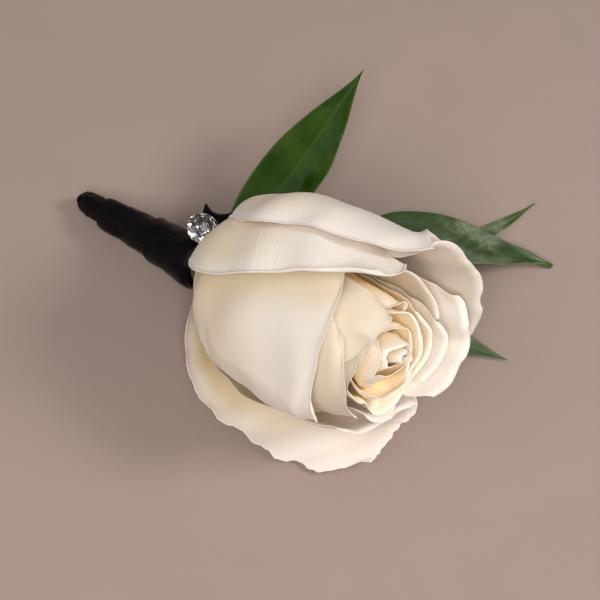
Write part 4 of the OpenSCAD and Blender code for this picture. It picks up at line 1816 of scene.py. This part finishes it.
class Draft(NodeGraph):
    """A material in the making: its graph, its Principled shader and the shared effects."""

    def __init__(self, name: str, effects: SharedEffects) -> None:
        """Makes an empty material with one Principled shader.

        Args:
            name: Name of the material.
            effects: The shared node groups.
        """
        self.material = bpy.data.materials.new(name)
        self.material.use_nodes = True
        super().__init__(self.material.node_tree)
        self.shader = self.tree.nodes["Principled BSDF"]
        self.effects = effects

    def set(self, **values: object) -> None:
        """Sets or links sockets of the shader; underscores in names stand for spaces."""
        for name, value in values.items():
            self.feed(self.shader.inputs[name.replace("_", " ")], value)

    def _effect(self, group: bpy.types.NodeTree, **values: object) -> bpy.types.Node:
        """Places a shared effect with this material's own values.

        Args:
            group: The effect.
            **values: Outputs or numbers for its inputs, by name.

        Returns:
            The node.
        """
        node = self.add("ShaderNodeGroup", node_tree=group)
        for name, value in values.items():
            self.feed(node.inputs[name], value)
        return node

    def speckle(self, patch: float, grain: float) -> tuple[Socket, Socket]:
        """Patches and grains of the shared speckle, at sizes in millimetres."""
        node = self._effect(self.effects.speckle, Patch=patch, Grain=grain)
        return node.outputs["Patches"], node.outputs["Grains"]

    def veins(self, across: Socket, along: Socket, spacing: float, stretch: float) -> Socket:
        """Lines of the shared veins, their spacing in millimetres."""
        values = {"Across": across, "Along": along, "Spacing": spacing, "Stretch": stretch}
        return self._effect(self.effects.veins, **values).outputs["Lines"]

    def bump(self, height: Socket, distance: float, strength: float) -> None:
        """Feeds a bump of a height map to the shader's normal.

        Args:
            height: The height map, from 0 to 1.
            distance: Height of its full scale, in metres.
            strength: How strongly it shows, from 0 to 1.
        """
        node = self.add("ShaderNodeBump")
        for label, value in (("Strength", strength), ("Distance", distance), ("Height", height)):
            self.feed(node.inputs[label], value)
        self.feed(self.shader.inputs["Normal"], node.outputs["Normal"])


@dataclass(frozen=True)
class Finish:
    """A finish of the part's surface; each kind paints its own material.

    Attributes:
        name: Name of its material.
    """

    name: str

    def make(self, effects: SharedEffects) -> bpy.types.Material:
        """Builds the material.

        Args:
            effects: The shared node groups.

        Returns:
            The material.
        """
        draft = Draft(self.name, effects)
        self.paint(draft)
        return draft.material

    def paint(self, draft: Draft) -> None:
        """Fills the material's graph."""
        raise NotImplementedError


@dataclass(frozen=True)
class PetalFinish(Finish):
    """Soft, slightly see-through petal with a warmer foot and fanned veins, and with painted warm shade in
    the bloom's depths and painted shade where another petal covers it.

    Attributes:
        outside: Colour of its outer face.
        inside: Colour of its inner face.
        warm_shade: Warm colour painted in the bloom's depths, as shade of light bounced between the petals.
        foot: Colour at its foot.
        vein: Colour of its veins and patches.
        tuck_shade: Colour painted as shade where the margin of another petal lies over this one.
        margin: Colour of its very edge.
        ribs: Strength of its ribs, from 0 to 1.
        deep_outside: How much of the painted warm shade its outer face takes.
        deep_inside: How much of it its inner face takes.
        deep_from: Place along the petal from which the painted warm shade grows towards the foot.
        pale: Breadth of the paler band along its margins, which the painted warm shade leaves out, in
            millimetres.
        tuck_shade_share: How much of that painted shade its first side takes.
        glow: Share of the light that goes through its flesh.
    """

    outside: Colour = (0.90, 0.80, 0.72)
    inside: Colour = (0.91, 0.81, 0.72)
    warm_shade: Colour = (0.90, 0.62, 0.25)
    foot: Colour = (0.72, 0.66, 0.40)
    vein: Colour = (0.80, 0.67, 0.50)
    tuck_shade: Colour = (0.66, 0.55, 0.36)
    margin: Colour = (0.95, 0.87, 0.78)
    ribs: float = 0.25
    deep_outside: float = 0.42
    deep_inside: float = 0.55
    deep_from: float = 0.80
    pale: float = 6.0
    tuck_shade_share: float = 0.0
    glow: float = 0.25

    def paint(self, draft: Draft) -> None:
        """Paints the faces, the painted warm shade in the depths, the foot, the painted shade under a
        covering petal, the veins and the margin, in that order.

        Args:
            draft: The material in the making.
        """
        column, along, edge = draft.attribute("span")
        spread, across, side = draft.attribute("vein")
        body = draft.mix(side, self.inside, self.outside)
        # Painted warm shade in the bloom's depths, standing for light bounced between the petals: each face
        # takes its own share, growing towards the foot and left out along the margins.
        depth = draft.ramp(side, 0.0, 1.0, self.deep_inside, self.deep_outside)
        depth = draft.times(draft.ramp(along, self.deep_from, self.deep_from - 0.4), depth)
        depth = draft.times(draft.ramp(edge, 0.12 * self.pale, self.pale), depth)
        body = draft.mix(depth, body, self.warm_shade)
        body = draft.mix(draft.ramp(along, 0.32, 0.05, 0.0, 0.8), body, self.foot)
        # Painted shade under the margin of a covering petal: strongest on the first side, along a line that
        # moves across the petal as it rises.
        free = draft.math("ADD", column, draft.times(0.85, draft.times(along, along)))
        body = draft.mix(draft.ramp(free, 0.25, 0.65, self.tuck_shade_share, 0.0), body, self.tuck_shade)
        patches, grains = draft.speckle(9.0, 0.35)
        body = draft.mix(draft.ramp(patches, 0.0, 1.0, 0.0, 0.10), body, self.vein)
        lines = draft.veins(spread, across, 0.42, 0.05)
        body = draft.mix(draft.times(lines, 0.05 + 0.12 * self.ribs), body, self.vein)
        body = draft.mix(draft.ramp(edge, 0.1, 0.7, 0.12, 0.0), body, self.margin)
        draft.set(Base_Color=body, Roughness=0.56, IOR=1.38)
        draft.set(Subsurface_Weight=self.glow, Subsurface_Radius=(1.0, 0.85, 0.65), Subsurface_Scale=0.0012)
        draft.set(Sheen_Weight=0.12, Sheen_Roughness=0.45, Specular_IOR_Level=0.35)
        rib = draft.times(lines, 0.25 + 0.75 * self.ribs)
        draft.bump(draft.math("ADD", rib, draft.times(grains, 0.25)), 0.00005, 0.6)


@dataclass(frozen=True)
class LeafFinish(Finish):
    """Glossy green leaf with a pale midrib, parallel veins, a lighter back and, where it is asked for, a
    painted pale sheen patch that stands for a broad reflection.

    Attributes:
        top: Darker green of its upper face.
        light: Lighter green of its patches and veins.
        rib: Colour of its midrib and margins.
        back: Colour of its back.
        painted_sheen: Colour of the painted pale sheen patch on its upper face, a painted reflection.
        painted_sheen_share: How much of that painted sheen there is.
        gloss: Strength of its highlights.
        rough: Least and greatest roughness.
    """

    top: Colour = (0.010, 0.033, 0.001)
    light: Colour = (0.024, 0.056, 0.003)
    rib: Colour = (0.060, 0.115, 0.018)
    back: Colour = (0.060, 0.110, 0.030)
    painted_sheen: Colour = (0.26, 0.31, 0.20)
    painted_sheen_share: float = 0.0
    gloss: float = 0.08
    rough: tuple[float, float] = (0.24, 0.36)

    def paint(self, draft: Draft) -> None:
        """Paints the greens, the midrib and margins, the painted sheen patch and the back, in that order.

        Args:
            draft: The material in the making.
        """
        _, rise, edge = draft.attribute("span")
        across, along, side = draft.attribute("vein")
        patches, grains = draft.speckle(6.0, 0.25)
        lines = draft.veins(across, along, 0.55, 0.03)
        body = draft.mix(patches, self.top, self.light)
        body = draft.mix(draft.times(lines, 0.35), body, self.light)
        body = draft.mix(draft.ramp(draft.math("ABSOLUTE", across), 0.1, 0.5, 0.25, 0.0), body, self.rib)
        body = draft.mix(draft.ramp(edge, 0.0, 0.35, 0.6, 0.0), body, self.rib)
        # Painted pale sheen: uneven patches in a band from about the leaf's middle towards its tip, standing
        # for a broad reflection of the lamps.
        sheen_patches, sheen_grains = draft.speckle(4.0, 0.7)
        painted_sheen = draft.times(sheen_patches, draft.ramp(sheen_grains, 0.0, 1.0, 0.55, 1.0))
        band = draft.times(draft.ramp(rise, 0.42, 0.62), draft.ramp(rise, 0.86, 0.72))
        body = draft.mix(draft.times(draft.times(painted_sheen, band), self.painted_sheen_share), body, self.painted_sheen)
        body = draft.mix(draft.ramp(side, 0.6, 0.4), body, self.back)
        draft.set(Base_Color=body, Roughness=draft.ramp(grains, 0.0, 1.0, *self.rough), IOR=1.45)
        draft.set(Specular_IOR_Level=self.gloss, Coat_Weight=0.05, Coat_Roughness=0.22)
        draft.set(Subsurface_Weight=0.08, Subsurface_Scale=0.001)
        draft.bump(draft.math("ADD", lines, draft.times(grains, 0.3)), 0.00004, 0.5)


@dataclass(frozen=True)
class SatinFinish(Finish):
    """Black satin ribbon with fine threads and a soft plum-grey shine.

    Attributes:
        base: Colour between its threads.
        light: Colour of its threads.
        shine: Tint of its highlights.
    """

    base: Colour = (0.0014, 0.0010, 0.0013)
    light: Colour = (0.0034, 0.0024, 0.0034)
    shine: Colour = (0.86, 0.78, 1.0)

    def paint(self, draft: Draft) -> None:
        """Paints the threads and weaves them.

        Args:
            draft: The material in the making.
        """
        along, across, _ = draft.attribute("weave")
        threads = draft.veins(across, along, 0.16, 0.25)
        crossing = draft.veins(along, across, 0.30, 0.9)
        patches, _ = draft.speckle(3.0, 0.2)
        draft.set(Base_Color=draft.mix(threads, self.base, self.light))
        draft.set(Roughness=draft.ramp(patches, 0.0, 1.0, 0.22, 0.30))
        draft.set(Specular_IOR_Level=0.10, Specular_Tint=self.shine)
        draft.bump(draft.math("ADD", threads, draft.times(crossing, 0.4)), 0.00003, 0.6)


@dataclass(frozen=True)
class StemFinish(Finish):
    """Green of the stem, hip and twig.

    Attributes:
        base: Darker green.
        light: Lighter green of its patches.
    """

    base: Colour = (0.030, 0.070, 0.012)
    light: Colour = (0.065, 0.120, 0.028)

    def paint(self, draft: Draft) -> None:
        """Paints the patches and their grain.

        Args:
            draft: The material in the making.
        """
        patches, grains = draft.speckle(2.5, 0.3)
        draft.set(Base_Color=draft.mix(patches, self.base, self.light))
        draft.set(Roughness=draft.ramp(grains, 0.0, 1.0, 0.42, 0.60))
        draft.set(Subsurface_Weight=0.1, Subsurface_Scale=0.001)
        draft.bump(grains, 0.00004, 0.7)


@dataclass(frozen=True)
class StoneFinish(Finish):
    """Clear cut glass.

    Attributes:
        tint: Its faint colour.
        ior: How strongly it bends light.
    """

    tint: Colour = (0.985, 0.98, 1.0)
    ior: float = 2.10

    def paint(self, draft: Draft) -> None:
        """Makes clear glass with faint smears.

        Args:
            draft: The material in the making.
        """
        smears, _ = draft.speckle(1.2, 0.2)
        draft.set(Base_Color=self.tint, Roughness=draft.ramp(smears, 0.4, 1.0, 0.0, 0.025))
        draft.set(Metallic=0.0, Transmission_Weight=1.0, IOR=self.ior)


@dataclass(frozen=True)
class MetalFinish(Finish):
    """Bright drawn steel of the pin.

    Attributes:
        base: Colour of the steel.
        dull: Colour of its duller patches, as a share of that.
    """

    base: Colour = (0.62, 0.61, 0.60)
    dull: float = 0.85

    def paint(self, draft: Draft) -> None:
        """Paints patches and grain on plain metal.

        Args:
            draft: The material in the making.
        """
        patches, grains = draft.speckle(1.5, 0.12)
        draft.set(Base_Color=draft.mix(patches, self.base, tuple(self.dull * v for v in self.base)))
        draft.set(Roughness=draft.ramp(grains, 0.0, 1.0, 0.18, 0.34), Metallic=1.0)
        draft.bump(grains, 0.00001, 0.5)


@dataclass(frozen=True)
class FloorFinish(Finish):
    """Plain pale matt floor.

    Attributes:
        base: Its colour.
        dull: Colour of its darker patches, as a share of that.
    """

    base: Colour = (0.345, 0.262, 0.223)
    dull: float = 0.9

    def paint(self, draft: Draft) -> None:
        """Paints faint patches and grain.

        Args:
            draft: The material in the making.
        """
        patches, grains = draft.speckle(30.0, 1.2)
        share = draft.ramp(patches, 0.0, 1.0, 0.0, 0.25)
        draft.set(Base_Color=draft.mix(share, self.base, tuple(self.dull * v for v in self.base)))
        draft.set(Roughness=0.85)
        draft.bump(grains, 0.00004, 0.4)


# Cream of the ribbed petals that arch over the top; their outer cream is painted lighter, as painted light on
# faces that the lamps leave dim
RIBBED = PetalFinish("petal_cream_ribbed", outside=(0.97, 0.87, 0.79), ribs=1.0, deep_inside=0.30)
# Cream of the middle petals, folded round the mouth, and of the heart. The middle petals' outer cream is
# painted darker, as shade on faces that the key lamp lights strongly, and their inner cream lighter, as
# painted light on faces that the lamps leave dim
FOLDED = PetalFinish(
    "petal_cream_folded",
    outside=(0.71, 0.61, 0.485),
    inside=(0.96, 0.87, 0.78),
    ribs=0.2,
    deep_outside=0.25,
    deep_inside=0.6,
    deep_from=0.95,
    pale=4.0,
)
# The heart's cream is partly its own and partly painted light, for light glowing through it; its strong warm
# colour in the depths is painted warm shade between its petals.
HEART = PetalFinish(
    "petal_heart",
    outside=(0.97, 0.88, 0.75),
    inside=(0.97, 0.88, 0.73),
    warm_shade=(0.99, 0.66, 0.27),
    ribs=0.3,
    deep_outside=0.85,
    deep_inside=1.0,
    deep_from=1.06,
    pale=1.1,
    glow=0.2,
)
# Creams of the outer petals
OUTER_CREAMS = {
    "crest_petal": RIBBED,
    "hood_petal": RIBBED,
    # The fallen petal's dark warm colour over the foot of its inner face is a painted shadow of the wrap
    # petal above it.
    "fallen_petal": PetalFinish("petal_cream_low", warm_shade=(0.60, 0.48, 0.24), ribs=0.3, deep_inside=0.9),
    # The wrap petal takes painted shade under the hood petal's margin.
    "wrap_petal": PetalFinish("petal_cream_covered", tuck_shade_share=0.75),
    # The back petal's inner cream is painted darker, as shade on the face that the key lamp lights.
    "back_petal": PetalFinish("petal_cream_back", inside=(0.79, 0.70, 0.60)),
}
# Greens of the glossy first leaf, of the others with a painted sheen patch, and of the stem
GLOSSY = LeafFinish("leaf_green")
SHEEN_PAINTED_LEAF = LeafFinish(
    "leaf_painted_sheen",
    top=(0.020, 0.048, 0.006),
    light=(0.038, 0.076, 0.014),
    painted_sheen_share=0.85,
    gloss=0.6,
    rough=(0.40, 0.52),
)
STEM = StemFinish("stem_green")
SATIN = SatinFinish("black_satin")


@dataclass(frozen=True)
class Lamp:
    """One soft square light.

    Attributes:
        name: Its name.
        right: How far to the camera's right it stands, as a part of its direction.
        up: How far above.
        back: How far towards the camera.
        size: Length of its side, in metres.
        power: Its power, in watts.
        colour: Its colour.
        distance: Its distance from the part, in metres.
        soft: Whether it lights matt surfaces too, and isn't only seen as a shine.
    """

    name: str
    right: float
    up: float
    back: float
    size: float
    power: float
    colour: Colour
    distance: float = 0.9
    soft: bool = True


LAMPS = (
    Lamp("key", 0.77, 0.24, 0.60, 0.26, 4.4, (1.0, 0.97, 0.95)),
    Lamp("fill", -0.7, 0.1, 0.7, 0.8, 1.4, (1.0, 0.98, 0.95), distance=1.0),
    Lamp("front", -0.02, -0.12, 0.93, 0.40, 5.3, (1.0, 0.98, 0.96)),
    Lamp("shine", -0.10, 0.55, 0.82, 0.5, 2.0, (1.0, 0.97, 1.0), soft=False),
)


@dataclass
class Studio:
    """Camera at the photograph's angle, plain soft light and a pale floor.

    Attributes:
        azimuth: Direction of the view round the part, in degrees from +Y.
        elevation: Height of the camera above the floor, in degrees.
        distance: Distance from the camera to the part, in metres.
        focal: Focal length, in millimetres, on the sensor below.
        sensor: Width of the sensor, in millimetres.
        frame_size: Width and height of the photograph's frame, in pixels.
        neck_pixel: Where the neck is in that frame.
        neck_depth: How far the point that the camera aims at lies in front of the neck.
        lit_point: Point that the lights aim at, in metres.
        surround: Brightness of the surround.
        surround_colour: Colour of the surround.
        floor_side: Half of the floor's side, in metres.
    """

    azimuth: float = 39.4
    elevation: float = 58.0
    distance: float = 0.380
    focal: float = 114.0
    sensor: float = 36.0
    frame_size: float = 600.0
    neck_pixel: tuple[float, float] = (203.0, 266.0)
    neck_depth: float = 0.012
    lit_point: tuple[float, float, float] = (0.005, -0.015, 0.02)
    surround: float = 0.22
    surround_colour: Colour = (1.0, 0.98, 0.93)
    floor_side: float = 3.0

    def __post_init__(self) -> None:
        """Works out the camera's right, up and back directions."""
        turn, rise = math.radians(self.azimuth), math.radians(self.elevation)
        level = Vector((math.sin(turn), -math.cos(turn), 0.0))
        self.back = level * math.cos(rise) + Vector((0.0, 0.0, math.sin(rise)))
        self.right = Vector((math.cos(turn), math.sin(turn), 0.0))
        self.up = self.back.cross(self.right)

    def add_camera(self, neck: Array) -> None:
        """Places the camera so that the neck is seen where the photograph has it.

        Args:
            neck: Place of the neck, in metres.
        """
        scale = self.sensor / self.focal / self.frame_size
        depth = self.distance + self.neck_depth
        aside = (self.neck_pixel[0] - self.frame_size / 2) * scale * depth
        above = (self.frame_size / 2 - self.neck_pixel[1]) * scale * depth
        target = Vector(neck) - self.right * aside - self.up * above + self.back * self.neck_depth
        data = bpy.data.cameras.new("photo_camera")
        data.lens, data.sensor_width = self.focal, self.sensor
        data.clip_start, data.clip_end = 0.01, 20.0
        camera = add_object("photo_camera", data)
        camera.location = target + self.back * self.distance
        camera.rotation_euler = self.back.to_track_quat("Z", "Y").to_euler()
        bpy.context.scene.camera = camera

    def add_lights(self) -> None:
        """Adds the lamps and a soft surround."""
        for lamp in LAMPS:
            data = bpy.data.lights.new(lamp.name, "AREA")
            data.shape, data.size, data.energy, data.color = "SQUARE", lamp.size, lamp.power, lamp.colour
            way = (self.right * lamp.right + self.up * lamp.up + self.back * lamp.back).normalized()
            light = add_object(lamp.name, data)
            light.location = Vector(self.lit_point) + way * lamp.distance
            light.rotation_euler = way.to_track_quat("Z", "Y").to_euler()
            light.visible_diffuse = lamp.soft
        world = bpy.data.worlds.new("soft_surround")
        world.use_nodes = True
        background = world.node_tree.nodes["Background"]
        background.inputs["Color"].default_value = (*self.surround_colour, 1.0)
        background.inputs["Strength"].default_value = self.surround
        bpy.context.scene.world = world
        bpy.context.scene.view_settings.view_transform = "Standard"

    def add_floor(self, material: bpy.types.Material) -> None:
        """Lays a large plain floor under the part.

        Args:
            material: The floor's material.
        """
        side = self.floor_side
        points = np.array([(-side, -side, 0), (side, -side, 0), (side, side, 0), (-side, side, 0)])
        floor = add_mesh("studio_floor", points, [[0, 1, 2, 3]])
        floor.data.materials.append(material)


@dataclass
class FlowerPin:
    """The whole part: builds each sub-assembly and dresses it.

    Attributes:
        bloom: The rose's size and place.
        stem: The wound ribbon.
        tail: The ribbon's cut end.
        stone: The cut stone.
        twig: The twig of the leaves.
        studio: Camera, light and floor.
        outer_mesh: Columns and rows of an outer petal's mesh.
        middle_mesh: Columns and rows of a middle petal's.
        heart_mesh: Columns and rows of a heart petal's.
        bud_mesh: Columns and rows of the bud's.
    """

    bloom: Bloom = field(default_factory=Bloom)
    stem: WrappedStem = field(default_factory=WrappedStem)
    tail: RibbonTail = field(default_factory=RibbonTail)
    stone: CutStone = field(default_factory=CutStone)
    twig: Twig = field(default_factory=Twig)
    studio: Studio = field(default_factory=Studio)
    outer_mesh: tuple[int, int] = (110, 90)
    middle_mesh: tuple[int, int] = (90, 76)
    heart_mesh: tuple[int, int] = (84, 56)
    bud_mesh: tuple[int, int] = (190, 50)

    def __post_init__(self) -> None:
        """Finds the neck and gets ready to make the materials."""
        self.neck = self.bloom.find_neck()
        self.effects = SharedEffects()
        self.materials: dict[Finish, bpy.types.Material] = {}

    def material(self, finish: Finish) -> bpy.types.Material:
        """The material of a finish, made when it is first asked for.

        Args:
            finish: The finish.

        Returns:
            Its one material.
        """
        if finish not in self.materials:
            self.materials[finish] = finish.make(self.effects)
        return self.materials[finish]

    def place(self, piece: bpy.types.Object, node: str, slot: str, finish: Finish) -> None:
        """Dresses a new piece, lets it stand for its solid and reports it.

        Args:
            piece: The new piece.
            node: Name of the solid that it stands for.
            slot: Name of its slot; not used.
            finish: Its finish.
        """
        piece.data.materials.append(self.material(finish))
        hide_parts(node)
        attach(piece, BODY)
        log.info("%s stands for %s: %d faces", piece.name, node, len(piece.data.polygons))

    def dress(self, node: str, finish: Finish) -> None:
        """Gives a solid that stays a finished material.

        Args:
            node: Name of the solid.
            finish: Its finish.
        """
        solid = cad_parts[node]
        for slot in solid.material_slots:
            slot.material = self.material(finish)
        log.info("%s keeps its solid, in %s", node, finish.name)

    def add_petal(self, form: PetalForm, mesh: tuple[int, int], slot: str, finish: Finish) -> None:
        """Builds one petal and places it."""
        self.place(Petal(self.bloom, self.neck, form, *mesh).build(), form.node, slot, finish)

    def add_petals(self) -> None:
        """Builds the outer, middle and heart petals."""
        for form in OUTER_PETALS:
            self.add_petal(form, self.outer_mesh, "petal", OUTER_CREAMS[form.node])
        for form in MIDDLE_PETALS:
            self.add_petal(form, self.middle_mesh, "petal", FOLDED)
        heart = HeartForms()
        for number in range(1, len(HEART_TABLE)):
            self.add_petal(heart.petal(number), self.heart_mesh, "heart", HEART)
        self.add_petal(heart.bud(), self.bud_mesh, "heart", HEART)

    def add_ribbon(self) -> None:
        """Builds the wound ribbon and its cut end."""
        self.place(self.stem.build(self.neck), "ribbon_wrap", "ribbon", SATIN)
        self.place(self.tail.build(self.bloom, self.stem, self.neck), "ribbon_tail", "ribbon", SATIN)

    def add_stone(self) -> None:
        """Builds the stone and dresses its pin."""
        stone = self.stone.build(self.bloom, self.stem, self.neck)
        self.place(stone, "stone", "stone", StoneFinish("clear_cut_glass"))
        self.dress("stone_pin", MetalFinish("pin_steel"))

    def add_greenery(self) -> None:
        """Builds the leaves and the twig, and dresses the stem."""
        for leaf in LEAVES:
            blade = leaf.build(self.twig, self.bloom, self.neck)
            self.place(blade, leaf.node, "leaf", GLOSSY if leaf.node == "leaf_1" else SHEEN_PAINTED_LEAF)
        self.place(self.twig.build(self.bloom, self.neck), "twig", "stem", STEM)
        self.dress("stem", STEM)

    def build(self) -> None:
        """Builds everything in order, then the studio round it."""
        self.add_petals()
        self.add_ribbon()
        self.add_stone()
        self.add_greenery()
        self.studio.add_floor(self.material(FloorFinish("pale_floor")))
        self.studio.add_camera(self.neck)
        self.studio.add_lights()


def main() -> None:
    """Builds the part."""
    logging.basicConfig(level=logging.INFO, format="%(name)s: %(message)s")
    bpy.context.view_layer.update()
    FlowerPin().build()


if __name__ == "__main__":
    main()
